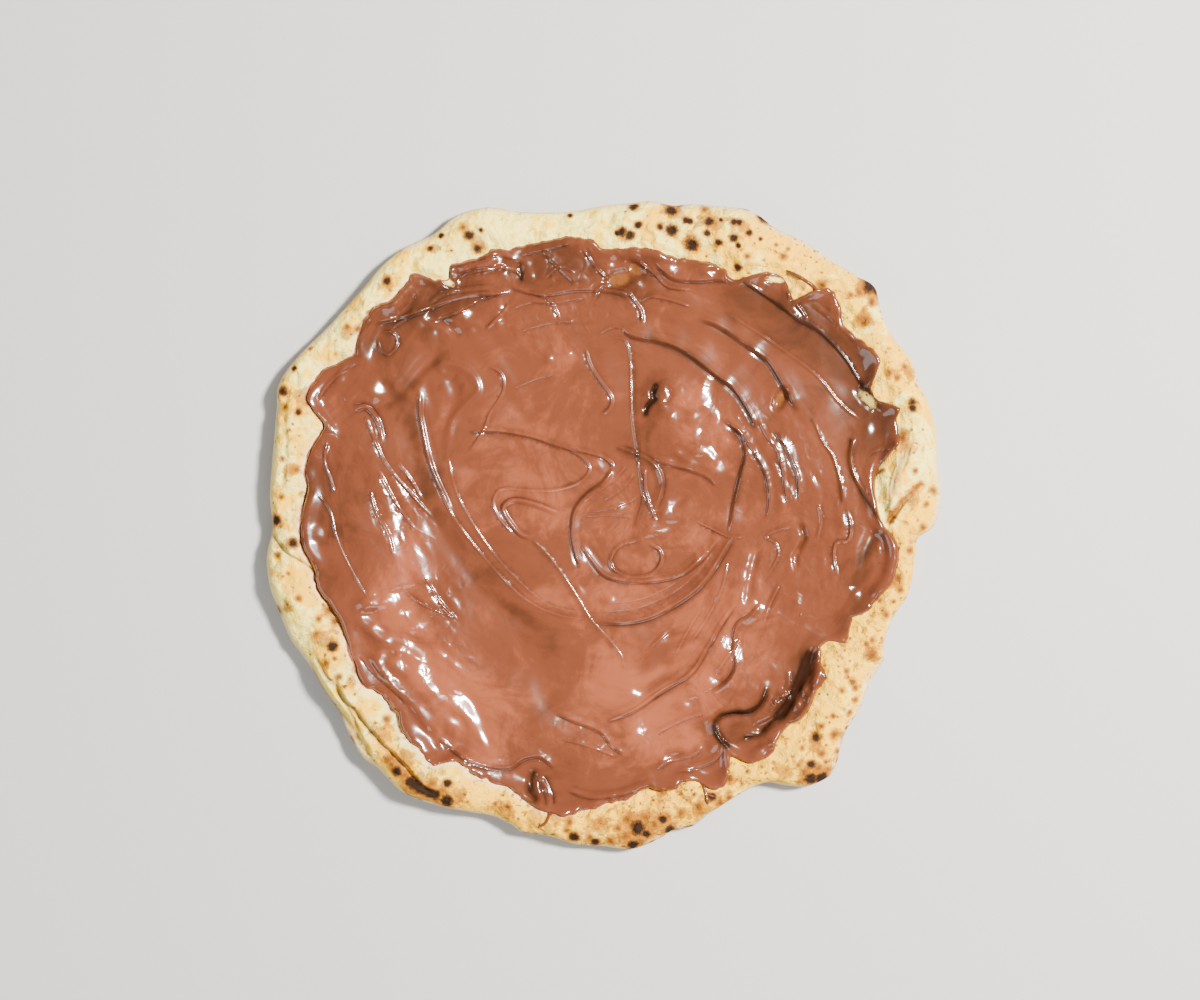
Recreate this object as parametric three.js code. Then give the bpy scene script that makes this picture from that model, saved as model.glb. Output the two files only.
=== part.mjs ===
// A flat round focaccia with a puffy, uneven rim, covered with a thick chocolate-coloured spread.
// Millimetres. It lies on z = 0, and from above +X is to the right and +Y away from the viewer.
// Two meshes: the bread, and the spread that lies on it.

import * as THREE from 'three';

// ---- Driving sizes ----
const FOCACCIA_WIDTH = 319;
const BASE_THICKNESS = 5;
const SPREAD_THICKNESS = 3.4;
const SPREAD_EDGE_THICKNESS = 1.2;
const SPREAD_EDGE_ROUNDING = 4.5;
const THINNEST_SPREAD = 1.3;
const LAYER_GAP = 0.3;

// ---- Rim ----
const RIM_CREST_SHARE = 0.45;      // where the crest lies between the spread's edge and the rim's
const RIM_FOOT_UNDER_SPREAD = 9;   // how far the rim's inner slope reaches in under the spread
const RIM_BELLY_SHARE = 0.42;      // height of the rim's widest line, as a share of its crest
const UNDERSIDE_INSET = 5;         // how far the lower edge curls in before it meets the floor
const DISH_START = 0.3;            // share of the spread's radius where the dough starts to rise

// ---- Mesh fineness ----
const CELL = 4.7;
const COVERED_RINGS = [0.25, 0.46, 0.64, 0.78, 0.87, 0.93, 0.97, 1];
const RIM_SLOPE_RINGS = 4;
const RIM_OUTER_RINGS = 5;
const RIM_UNDER_RINGS = 2;
const STEPS_ALONG_MARK = 14;
const END_TAPER = 0.14;            // share of a mark's length over which each end fades

// ---- Places in the picture, in its 1200 x 1000 pixels ----
const WIDTH_IN_PICTURE = 679;
const CENTRE_IN_PICTURE = { x: 603, y: 527 };
const MM_PER_PIXEL = FOCACCIA_WIDTH / WIDTH_IN_PICTURE;

// Distance of each edge from the centre, in picture pixels, at [degrees from +X, pixels].
const BREAD_EDGE = [
  [0, 333], [5, 342], [15, 349], [25, 350], [28, 354], [33, 349], [41, 364], [48, 355], [55, 352],
  [60, 348], [65, 352], [70, 344], [77, 332], [85, 328], [92, 321], [97, 320], [103, 325],
  [110, 343], [116, 347], [121, 341], [128, 346], [137, 340], [145, 344], [150, 351], [156, 357],
  [165, 343], [180, 333], [185, 340], [190, 341], [196, 336], [205, 327], [215, 325], [224, 335],
  [234, 334], [240, 325], [247, 312], [255, 318], [265, 321], [276, 326], [283, 314], [295, 304],
  [302, 305], [306, 325], [312, 339], [319, 322], [330, 312], [335, 313], [342, 306], [347, 314],
  [357, 317],
];
const SPREAD_EDGE = [
  [0, 282], [5, 275], [11, 279], [15, 300], [20, 312], [22, 322], [25, 303], [28, 304], [32, 324],
  [37, 318], [40, 316], [46, 330], [50, 298], [54, 307], [62, 283], [67, 290], [74, 280],
  [80, 282], [90, 278], [97, 291], [105, 293], [111, 300], [117, 297], [122, 294], [126, 314], [130, 312],
  [138, 316], [145, 301], [149, 315], [154, 324], [160, 300], [168, 303], [176, 297], [181, 301],
  [190, 291], [200, 279], [210, 284], [220, 278], [228, 287], [234, 291], [238, 276], [252, 282],
  [260, 292], [266, 286], [280, 265], [284, 272], [290, 272], [294, 286], [299, 264], [305, 282],
  [313, 272], [320, 273], [330, 252], [334, 268], [340, 265], [346, 286], [352, 297], [357, 293],
];

// Height of the rim's crest in millimetres, and how far the dough under the spread rises towards it.
const RIM_HEIGHT = [
  [0, 16], [25, 17], [45, 17], [70, 15], [95, 14], [115, 16], [140, 15], [165, 16], [190, 17],
  [215, 18], [232, 20], [250, 16], [275, 15], [300, 14], [312, 17], [330, 15], [347, 17],
];
const DISH_RISE = [[0, 4.5], [45, 5.5], [90, 3], [140, 4], [180, 6.5], [215, 6.5], [260, 3], [310, 3]];

// Soft swells in the dough under the spread: centre and radius in picture pixels, rise in millimetres.
const SWELLS = [
  { x: 682, y: 430, radius: 48, rise: 3.2 },
  { x: 380, y: 392, radius: 30, rise: 2.2 },
  { x: 366, y: 560, radius: 60, rise: 1.6 },
  { x: 760, y: 455, radius: 32, rise: 1.8 },
  { x: 395, y: 650, radius: 50, rise: 1.4 },
  { x: 484, y: 262, radius: 22, rise: 1.6 },
  { x: 866, y: 560, radius: 34, rise: 2 },
  { x: 545, y: 690, radius: 40, rise: -1.4 },
  { x: 530, y: 400, radius: 60, rise: -0.8 },
];

// Marks are ridges, or valleys where the rise is negative. left and right are their widths in
// millimetres on each side of the path, seen along it, and the path is in picture pixels.
const SPREAD_MARKS = {
  longScoop: { rise: 2, left: 12, right: 3, path: [[622, 325], [665, 341], [718, 375], [752, 415], [756, 427]] },
  outerScoop: { rise: 1.5, left: 9, right: 3, path: [[698, 317], [760, 353], [788, 392], [796, 408]] },
  rimScoop: { rise: 2, left: 6, right: 4, path: [[722, 282], [770, 297], [818, 328], [862, 383], [878, 400]] },
  topWave: { rise: 1.5, left: 6, right: 3, path: [[655, 262], [672, 276], [715, 278], [735, 280]] },
  upperLeftWave: { rise: 1.5, left: 4, right: 4, path: [[373, 322], [420, 310], [475, 293], [503, 293]] },
  upperWave: { rise: 1.3, left: 4, right: 4, path: [[508, 284], [550, 292], [610, 289], [632, 296]] },
  bigScoop: { rise: 1.5, left: 5, right: 4, path: [[419, 385], [420, 420], [430, 465], [452, 515],
    [490, 565], [525, 600], [560, 616], [592, 620]] },
  bigScoopValley: { rise: -0.8, left: 9, right: 7, path: [[404, 400], [410, 450], [428, 505],
    [462, 562], [505, 610], [550, 634]] },
  lensEdge: { rise: 1, left: 4, right: 4, path: [[428, 372], [445, 362], [468, 370], [478, 388],
    [468, 402], [452, 420], [446, 450]] },
  serpentTop: { rise: 1.3, left: 4, right: 4, path: [[467, 431], [530, 436], [595, 454], [613, 469]] },
  serpentBelly: { rise: 1.8, left: 5, right: 4, path: [[613, 469], [585, 497], [574, 513], [572, 535],
    [581, 568]] },
  leaf: { rise: 1.8, left: 4, right: 4, path: [[618, 448], [655, 465], [660, 495], [650, 516]] },
  innerBowl: { rise: 1.4, left: 4, right: 4, path: [[581, 543], [605, 575], [658, 580], [706, 554],
    [720, 536]] },
  outerBowl: { rise: 1.8, left: 4, right: 4, path: [[590, 621], [652, 616], [703, 582], [732, 536],
    [741, 480], [742, 436], [728, 420]] },
  rightWaveInner: { rise: 1.5, left: 4, right: 4, path: [[742, 433], [768, 477], [768, 520]] },
  rightWaveOuter: { rise: 1.5, left: 4, right: 4, path: [[774, 430], [793, 462], [800, 505]] },
  rightWaveLast: { rise: 1.6, left: 4, right: 4, path: [[817, 424], [834, 456], [842, 508]] },
  rightWall: { rise: 2, left: 6, right: 4, path: [[856, 438], [856, 475], [880, 520]] },
  rightLobeHollow: { rise: -2, left: 5, right: 5, path: [[876, 528], [862, 575], [853, 592]] },
  rightPit: { rise: -2, left: 4, right: 4, path: [[803, 523], [799, 556], [796, 576]] },
  rightValley: { rise: -1.3, left: 4, right: 4, path: [[760, 545], [752, 575], [747, 607]] },
  lowerFold: { rise: 1.5, left: 4, right: 4, path: [[762, 604], [738, 627], [737, 668], [704, 699]] },
  longLine: { rise: 1.5, left: 4, right: 4, path: [[735, 603], [706, 650], [662, 691], [602, 723]] },
  softValley: { rise: -0.6, left: 9, right: 9, path: [[545, 655], [545, 690], [578, 727], [600, 735]] },
  lowerLeftFold: { rise: 1.6, left: 5, right: 4, path: [[438, 738], [480, 764], [522, 759], [556, 770]] },
  dripHollow: { rise: -2, left: 4, right: 4, path: [[533, 768], [530, 788], [536, 806]] },
  bottomLine: { rise: 1.1, left: 4, right: 4, path: [[567, 791], [620, 794], [652, 783]] },
  bottomRightLine: { rise: 1.3, left: 4, right: 4, path: [[674, 771], [717, 758], [716, 732]] },
  curlEdge: { rise: 2.2, left: 4, right: 7, path: [[769, 684], [755, 712], [717, 722], [736, 757]] },
  curlRidge: { rise: 3, left: 4.5, right: 4.5, path: [[764, 750], [802, 714], [821, 662]] },
  curlChannel: { rise: -2.9, left: 4.5, right: 4.5, path: [[752, 733], [792, 702], [817, 645]] },
  leftLumpValley: { rise: -1.8, left: 5, right: 5, path: [[352, 412], [404, 388], [444, 348]] },
};

// Folds and creases in the crust, given the same way.
const CRUST_MARKS = {
  rightInnerValley: { rise: -3, left: 5, right: 5, path: [[881, 446], [878, 480], [887, 520]] },
  rightInnerCrest: { rise: 1.5, left: 4, right: 5, path: [[896, 436], [898, 470], [889, 505]] },
  rightOuterCrease: { rise: -2, left: 4, right: 4, path: [[890, 528], [907, 505], [926, 482]] },
  rightNotch: { rise: -3, left: 5, right: 4, path: [[905, 539], [935, 538]] },
  lowerLeftOuterWrinkle: { rise: -2.4, left: 4, right: 4, path: [[306, 660], [340, 712], [372, 758]] },
  lowerLeftInnerWrinkle: { rise: -2, left: 4, right: 4, path: [[333, 672], [352, 708], [395, 757], [424, 786]] },
  lowerLeftLobe: { rise: 1.6, left: 5, right: 5, path: [[385, 730], [420, 756], [448, 776]] },
  leftCrease: { rise: -1.8, left: 4, right: 4, path: [[266, 528], [288, 556], [316, 572]] },
  leftUpperCrease: { rise: -1.4, left: 4, right: 4, path: [[290, 385], [286, 440], [288, 492]] },
  lowerRightNotch: { rise: -2.5, left: 5, right: 5, path: [[748, 800], [778, 782], [800, 806]] },
  upperLeftCrease: { rise: -1.2, left: 4, right: 4, path: [[356, 330], [385, 292], [420, 254]] },
  topCrease: { rise: -1, left: 4, right: 4, path: [[500, 236], [548, 226], [600, 222]] },
  topRightCrease: { rise: -1.2, left: 5, right: 5, path: [[690, 256], [750, 248], [820, 272]] },
};

// Uneven swelling of crust and spread: height and spacing of the lumps, in millimetres.
const CRUST_LUMPS = [{ rise: 2.2, spacing: 26, seed: 3 }, { rise: 1.3, spacing: 12, seed: 8 }];
const SPREAD_LUMPS = [{ rise: 0.9, spacing: 30, seed: 5 }, { rise: 0.6, spacing: 13, seed: 9 }];

// ---- Curves and fields ----

// A smooth closed curve through [degrees, value] points, as a function of degrees.
function closedCurve(points) {
  const count = points.length;
  const at = (i) => {
    const turn = Math.floor(i / count);
    const [degrees, value] = points[i - turn * count];
    return [degrees + 360 * turn, value];
  };
  const slope = (i) => {
    const [a0, v0] = at(i - 1);
    const [a1, v1] = at(i + 1);
    return (v1 - v0) / (a1 - a0);
  };
  return (degrees) => {
    const wrapped = THREE.MathUtils.euclideanModulo(degrees - points[0][0], 360) + points[0][0];
    let i = count - 1;
    while (at(i)[0] > wrapped) i -= 1;
    const [a0, v0] = at(i);
    const [a1, v1] = at(i + 1);
    const t = (wrapped - a0) / (a1 - a0);
    const span = a1 - a0;
    return v0 * (1 + 2 * t) * (1 - t) ** 2 + v1 * t * t * (3 - 2 * t)
      + slope(i) * span * t * (1 - t) ** 2 - slope(i + 1) * span * t * t * (1 - t);
  };
}

const smooth = (t) => THREE.MathUtils.smoothstep(t, 0, 1);

function fromPicture(x, y) {
  return [(x - CENTRE_IN_PICTURE.x) * MM_PER_PIXEL, (CENTRE_IN_PICTURE.y - y) * MM_PER_PIXEL];
}

// A repeatable pseudo-random number from 0 to 1 for a grid point.
function gridValue(i, j, seed) {
  const s = Math.sin(i * 127.1 + j * 311.7 + seed * 74.7) * 43758.5453;
  return s - Math.floor(s);
}

// Soft lumps from -1 to 1 with the given spacing.
function lump(x, y, spacing, seed) {
  const i = Math.floor(x / spacing);
  const j = Math.floor(y / spacing);
  const u = smooth(x / spacing - i);
  const v = smooth(y / spacing - j);
  const low = THREE.MathUtils.lerp(gridValue(i, j, seed), gridValue(i + 1, j, seed), u);
  const high = THREE.MathUtils.lerp(gridValue(i, j + 1, seed), gridValue(i + 1, j + 1, seed), u);
  return 2 * THREE.MathUtils.lerp(low, high, v) - 1;
}

function lumps(x, y, layers) {
  return layers.reduce((sum, { rise, spacing, seed }) => sum + rise * lump(x, y, spacing, seed), 0);
}

// Turns named marks into short straight steps along smooth paths.
function traceMarks(marks) {
  return Object.values(marks).map(({ rise, left, right, path }) => {
    const knots = path.map(([x, y]) => new THREE.Vector3(...fromPicture(x, y), 0));
    const steps = new THREE.CatmullRomCurve3(knots).getPoints(STEPS_ALONG_MARK);
    const reach = new THREE.Box3().setFromPoints(steps).expandByScalar(Math.max(left, right));
    return { rise, left, right, steps, reach };
  });
}

// Height that one mark adds at a place.
function markHeight({ rise, left, right, steps, reach }, x, y) {
  if (x < reach.min.x || x > reach.max.x || y < reach.min.y || y > reach.max.y) return 0;
  let nearest = Infinity;
  let side = 0;
  let along = 0;
  for (let i = 0; i + 1 < steps.length; i += 1) {
    const dx = steps[i + 1].x - steps[i].x;
    const dy = steps[i + 1].y - steps[i].y;
    const px = x - steps[i].x;
    const py = y - steps[i].y;
    const t = THREE.MathUtils.clamp((px * dx + py * dy) / (dx * dx + dy * dy), 0, 1);
    const distance = Math.hypot(px - t * dx, py - t * dy);
    if (distance < nearest) {
      nearest = distance;
      side = dx * py - dy * px;
      along = (i + t) / (steps.length - 1);
    }
  }
  const width = side > 0 ? left : right;
  const fade = smooth(Math.min(along, 1 - along) / END_TAPER + 0.25);
  return rise * fade * smooth(1 - nearest / width);
}

function markedHeight(marks, x, y) {
  return marks.reduce((sum, mark) => sum + markHeight(mark, x, y), 0);
}

// ---- Form ----

const breadEdge = closedCurve(BREAD_EDGE);
const spreadEdge = closedCurve(SPREAD_EDGE);
const rimHeight = closedCurve(RIM_HEIGHT);
const dishRise = closedCurve(DISH_RISE);
const spreadMarks = traceMarks(SPREAD_MARKS);
const crustMarks = traceMarks(CRUST_MARKS);

// Radii and heights of the rim at an angle.
function rimAt(degrees) {
  const edge = breadEdge(degrees) * MM_PER_PIXEL;
  const spread = spreadEdge(degrees) * MM_PER_PIXEL;
  return {
    edge,
    spread,
    crest: spread + RIM_CREST_SHARE * (edge - spread),
    foot: spread - RIM_FOOT_UNDER_SPREAD,
    height: rimHeight(degrees),
    belly: RIM_BELLY_SHARE * rimHeight(degrees),
  };
}

function swellHeight(x, y) {
  return SWELLS.reduce((sum, swell) => {
    const [sx, sy] = fromPicture(swell.x, swell.y);
    const distance = Math.hypot(x - sx, y - sy) / (swell.radius * MM_PER_PIXEL);
    return sum + swell.rise * Math.exp(-distance * distance);
  }, 0);
}

// Height of the dough's top surface at a radius and angle.
function doughTop(radius, degrees) {
  const rim = rimAt(degrees);
  const x = radius * Math.cos(THREE.MathUtils.degToRad(degrees));
  const y = radius * Math.sin(THREE.MathUtils.degToRad(degrees));
  const dish = BASE_THICKNESS + swellHeight(x, y)
    + dishRise(degrees) * smooth((radius / rim.spread - DISH_START) / (1 - DISH_START));
  const climb = smooth((radius - rim.foot) / (rim.crest - rim.foot));
  const crust = smooth((radius - rim.foot) / (rim.spread - rim.foot));
  const relief = crust * (lumps(x, y, CRUST_LUMPS) + markedHeight(crustMarks, x, y));
  const outward = Math.max(0, (radius - rim.crest) / (rim.edge - rim.crest));
  const fall = Math.sqrt(Math.max(0, 1 - outward ** 2));
  const top = THREE.MathUtils.lerp(dish, rim.height, climb) + relief;
  return rim.belly + (top - rim.belly) * fall;
}

// Thickness of the spread, rounded off towards its edge.
function spreadThickness(radius, degrees) {
  const x = radius * Math.cos(THREE.MathUtils.degToRad(degrees));
  const y = radius * Math.sin(THREE.MathUtils.degToRad(degrees));
  const full = SPREAD_THICKNESS + lumps(x, y, SPREAD_LUMPS) + markedHeight(spreadMarks, x, y);
  const inward = Math.min(1, (rimAt(degrees).spread - radius) / SPREAD_EDGE_ROUNDING);
  const rounding = Math.sqrt(1 - (1 - inward) ** 2);
  const body = Math.max(THINNEST_SPREAD, full);
  return THREE.MathUtils.lerp(SPREAD_EDGE_THICKNESS, body, rounding);
}

// ---- Closed meshes from rings ----

// A ring of points: place(degrees) gives each point's radius and height.
function ring(count, turned, place) {
  return Array.from({ length: count }, (_, i) => {
    const degrees = (360 * (i + (turned ? 0.5 : 0))) / count;
    const { radius, z } = place(degrees);
    const angle = THREE.MathUtils.degToRad(degrees);
    return { degrees, point: new THREE.Vector3(radius * Math.cos(angle), radius * Math.sin(angle), z) };
  });
}

// Joins neighbouring rings into one closed surface, from the ring on the axis above to the one below.
function closedSurface(rings) {
  const starts = rings.map((_, i) => rings.slice(0, i).reduce((sum, r) => sum + r.length, 0));
  const triangles = [];
  for (let k = 0; k + 1 < rings.length; k += 1) {
    const [inner, outer] = [rings[k], rings[k + 1]];
    const innerAt = (i) => starts[k] + (i % inner.length);
    const outerAt = (j) => starts[k + 1] + (j % outer.length);
    const angleOf = (r, i) => r[i % r.length].degrees + 360 * Math.floor(i / r.length);
    let i = 0;
    let j = 0;
    while (i < inner.length || j < outer.length) {
      const innerNext = inner.length > 1 ? angleOf(inner, i + 1) + angleOf(inner, i) : Infinity;
      const outerNext = outer.length > 1 ? angleOf(outer, j + 1) + angleOf(outer, j) : Infinity;
      const stepOuter = i >= inner.length || inner.length === 1
        || (j < outer.length && outer.length > 1 && outerNext <= innerNext);
      if (stepOuter) {
        triangles.push(innerAt(i), outerAt(j), outerAt(j + 1));
        j += 1;
      } else {
        triangles.push(innerAt(i), outerAt(j), innerAt(i + 1));
        i += 1;
      }
      if (inner.length === 1 && j >= outer.length) break;
      if (outer.length === 1 && i >= inner.length) break;
    }
  }
  const geometry = new THREE.BufferGeometry().setFromPoints(rings.flat().map((v) => v.point));
  geometry.setIndex(triangles);
  return geometry;
}

const middle = (z) => [{ degrees: 0, point: new THREE.Vector3(0, 0, z) }];
const meanSpreadRadius = MM_PER_PIXEL * SPREAD_EDGE.reduce((sum, [, r]) => sum + r, 0) / SPREAD_EDGE.length;
const edgeCount = Math.round((2 * Math.PI * meanSpreadRadius) / CELL);

// The rings where dough and spread meet, the same for both so that the gap between them is even.
function coveredRings(lift) {
  return COVERED_RINGS.map((share, k) => {
    const count = Math.round(edgeCount * Math.min(1, share ** 3 + 0.08));
    return ring(k + 1 < COVERED_RINGS.length ? count : edgeCount, k % 2 === 0, (degrees) => {
      const radius = share * rimAt(degrees).spread;
      return { radius, z: doughTop(radius, degrees) + lift };
    });
  });
}

function breadGeometry() {
  const rings = [middle(doughTop(0, 0)), ...coveredRings(0)];
  const turned = () => rings.length % 2 === 0;
  for (let k = 1; k <= RIM_SLOPE_RINGS; k += 1) {
    rings.push(ring(edgeCount, turned(), (degrees) => {
      const { spread, crest } = rimAt(degrees);
      const radius = THREE.MathUtils.lerp(spread, crest, k / RIM_SLOPE_RINGS);
      return { radius, z: doughTop(radius, degrees) };
    }));
  }
  for (let k = 1; k <= RIM_OUTER_RINGS; k += 1) {
    rings.push(ring(edgeCount, turned(), (degrees) => {
      const { edge, crest } = rimAt(degrees);
      const radius = THREE.MathUtils.lerp(crest, edge, Math.sin((k / RIM_OUTER_RINGS) * Math.PI / 2));
      return { radius, z: doughTop(radius, degrees) };
    }));
  }
  for (let k = 1; k <= RIM_UNDER_RINGS; k += 1) {
    rings.push(ring(edgeCount, turned(), (degrees) => {
      const { edge, belly } = rimAt(degrees);
      const turn = (k / RIM_UNDER_RINGS) * Math.PI / 2;
      return { radius: edge - UNDERSIDE_INSET * (1 - Math.cos(turn)), z: belly * (1 - Math.sin(turn)) };
    }));
  }
  rings.push(middle(0));
  return closedSurface(rings);
}

function spreadGeometry() {
  const ringCount = Math.round(meanSpreadRadius / (CELL * Math.sqrt(0.75)));
  const rings = [middle(doughTop(0, 0) + LAYER_GAP + spreadThickness(0, 0))];
  for (let k = 1; k <= ringCount; k += 1) {
    const share = k / ringCount;
    rings.push(ring(Math.max(6, Math.round(edgeCount * share)), k % 2 === 1, (degrees) => {
      const radius = share * rimAt(degrees).spread;
      return { radius, z: doughTop(radius, degrees) + LAYER_GAP + spreadThickness(radius, degrees) };
    }));
  }
  const underside = coveredRings(LAYER_GAP).reverse();
  return closedSurface([...rings, ...underside, middle(doughTop(0, 0) + LAYER_GAP)]);
}

// ---- The parts ----

function namedMesh(name, geometry, look) {
  geometry.computeVertexNormals();
  const mesh = new THREE.Mesh(geometry, new THREE.MeshStandardMaterial(look));
  mesh.name = name;
  return mesh;
}

const bread = namedMesh('bread', breadGeometry(), { color: 0xf0e2ba, roughness: 0.85, metalness: 0 });
const spread = namedMesh('chocolate_spread', spreadGeometry(), { color: 0x9c5c44, roughness: 0.22, metalness: 0 });

const focaccia = new THREE.Group();
focaccia.add(bread, spread);

// The origin lies under the middle of the whole.
const middleOfAll = new THREE.Box3().setFromObject(focaccia).getCenter(new THREE.Vector3());
focaccia.children.forEach((mesh) => mesh.geometry.translate(-middleOfAll.x, -middleOfAll.y, 0));

export default focaccia;
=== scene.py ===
"""A flat round focaccia with a puffy, spotted rim, covered with a thick chocolate-coloured spread.

The CAD solids fix the size and form. This script replaces both with finer surfaces of the same
form, and adds the spread's fine marks, the crust's spots and the loose strands on the crust.
Places are read from the picture in its 1200 x 1000 pixels and turned into metres.
"""

import math

import bpy
import numpy as np
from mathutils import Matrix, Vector
from mathutils.geometry import delaunay_2d_cdt
from mathutils.kdtree import KDTree


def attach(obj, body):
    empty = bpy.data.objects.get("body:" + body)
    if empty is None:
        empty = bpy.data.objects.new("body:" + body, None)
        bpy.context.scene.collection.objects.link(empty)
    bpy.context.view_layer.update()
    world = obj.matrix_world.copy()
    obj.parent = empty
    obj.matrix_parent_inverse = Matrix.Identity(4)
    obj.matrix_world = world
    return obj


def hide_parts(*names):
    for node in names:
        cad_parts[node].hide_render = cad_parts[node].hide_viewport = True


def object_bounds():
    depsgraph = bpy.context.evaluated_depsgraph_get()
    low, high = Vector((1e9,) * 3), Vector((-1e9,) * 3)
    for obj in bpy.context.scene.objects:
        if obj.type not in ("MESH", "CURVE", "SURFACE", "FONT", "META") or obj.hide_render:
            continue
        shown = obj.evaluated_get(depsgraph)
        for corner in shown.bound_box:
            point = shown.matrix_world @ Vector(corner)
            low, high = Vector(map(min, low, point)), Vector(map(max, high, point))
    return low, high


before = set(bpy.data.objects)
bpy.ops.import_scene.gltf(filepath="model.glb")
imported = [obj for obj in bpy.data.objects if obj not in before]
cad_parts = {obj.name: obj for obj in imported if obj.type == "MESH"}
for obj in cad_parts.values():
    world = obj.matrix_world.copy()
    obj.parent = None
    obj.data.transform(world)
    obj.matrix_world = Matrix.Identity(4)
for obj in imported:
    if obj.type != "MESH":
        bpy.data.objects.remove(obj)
cad_low, cad_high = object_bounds()

# ---- Sizes, in metres ----
MM = 0.001
BASE_THICKNESS = 5 * MM
SPREAD_THICKNESS = 3.4 * MM
THINNEST_SPREAD = 1.3 * MM
SPREAD_EDGE_THICKNESS = 0.8 * MM
SPREAD_EDGE_TUCK = 0.7 * MM        # how far the edge runs back under itself
SPREAD_EDGE_SINK = 0.5 * MM        # and how far it sinks into the crust there
SPREAD_UNDERSIDE_LIFT = 0.1 * MM
BARE_DEPTH = 2.4 * MM
BARE_SLOPE = 0.6                   # how far outside a bare patch the spread starts to thin
RIM_CREST_SHARE = 0.45
RIM_FOOT_UNDER_SPREAD = 9 * MM
RIM_BELLY_SHARE = 0.42
UNDERSIDE_INSET = 5 * MM
DISH_START = 0.3
FINE_CRUST_START = 2.5 * MM        # the crust's fine lumps start this far under the spread's edge
FINE_RINGS_START = 4 * MM          # and its fine rings this far
BOX_MARGIN = 0.15 * MM             # how far the fine surfaces stay inside the CAD model's box

# ---- Mesh fineness ----
SPREAD_CELL = 1.2 * MM
CELL_CLEARANCE = 0.7               # how many cells the even mesh stays away from the marks
SPREAD_COLUMNS = 1130
SPREAD_EDGE_SHARES = (0.6, 0.42, 0.26, 0.12, 0.03, 0)    # distances in from the edge, in roundings
SPREAD_TUCK_RINGS = 3
MARK_STEP = 0.9 * MM               # spacing of the mesh along a mark
FEWEST_MARK_STEPS = 3
NARROW_SHARES = (0.35, 0.7, 1, 1.2, 1.45)                # its lines on a narrow side, in widths
WIDE_OFFSETS = (0.4, 0.9, 1.6)     # and on a wide side, in millimetres
CLOSEST_POINTS = 0.3 * MM
SAME_POINT = 1e-7
CRUST_COLUMNS = 1240
CRUST_TOP_RINGS = 38
CRUST_OUTER_RINGS = 28
CRUST_UNDER_RINGS = 8
# Coarse rings where the two surfaces are hidden: share of the spread's radius, and points.
HIDDEN_CRUST_RINGS = ((0.2, 40), (0.45, 120), (0.7, 300), (0.88, 620), (0.95, 1000))
HIDDEN_SPREAD_RINGS = ((0.96, 800), (0.9, 500), (0.75, 300), (0.5, 150), (0.25, 60))
STRAND_SIDES = 10
STEPS_PER_SPAN = 6

# ---- How marks are shaped ----
WIDEST_CREASE = 2.0                # marks with a wider steep side than this have no groove
CREST_POWER = 1.5                  # how sharp a mark's crest is
GROOVE_PLACE = 1.1                 # the groove at a mark's foot: place, width and reach in widths
GROOVE_WIDTH = 0.36
GROOVE_REACH = 1.8
GROOVE_DEPTH = 0.3                 # as a share of the mark's rise
# A mark's groove is darkened with painted shade, most for marks of the rise below.
GROOVE_FULL_RISE = 0.9             # marks of this rise in millimetres have the darkest groove
END_TAPER = 0.14
END_HEIGHT = 0.15                  # how far into its taper a mark starts
MARK_SWELL = (0.45, 9, 51)         # how much a mark's rise changes, over how many mm, and a seed
FACET_FALL = 0.7                   # how fast a facet fades towards its edge
STRAND_LIFT = 0.3                  # how high a strand lies on the crust, in radii
STRAND_END_POWER = 6
STRAND_TIP = 0.02
FAR_OUTSIDE = -3.0                 # nearness where no spot or patch is near

# ---- Camera, light and floor ----
CAMERA_HEIGHT = 1.0
FILM_WIDTH = 36
# Lights: size in metres, power and colour; the soft ones start with degrees from +X, degrees above
# the floor and distance.
KEY_PLACE = (0.83, 0.335, 1.326)
KEY_LIGHT = (0.24, 104, (1, 0.95, 0.88))
SOFT_LIGHTS = {
    "glow": (22, 56, 1.65, 0.7, 9, (1, 0.96, 0.95)),
    "soft_left": (200, 38, 1.8, 1.1, 11, (0.92, 0.96, 1)),
    "soft_front": (285, 38, 1.8, 0.9, 8, (0.95, 0.97, 1)),
}
STUDIO_COLOUR = (1, 0.98, 0.95)
STUDIO_STRENGTH = 0.36
FLOOR_COLOUR = (0.5, 0.5, 0.49)
FLOOR_ROUGHNESS = 0.9
FLOOR_SIZE = 6
FLOOR_DROP = 0.5 * MM

# ---- The picture ----
PICTURE_WIDTH = 1200
PICTURE_CENTRE = (600, 500)
FOCACCIA_WIDTH_IN_PICTURE = 679
READING_CENTRE = (603, 527)        # the point that the edges are measured from
SWIRL_CENTRE = (634, 512)          # the point that the spread's streaks run round
METRES_PER_PIXEL = (cad_high.x - cad_low.x) / FOCACCIA_WIDTH_IN_PICTURE

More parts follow.
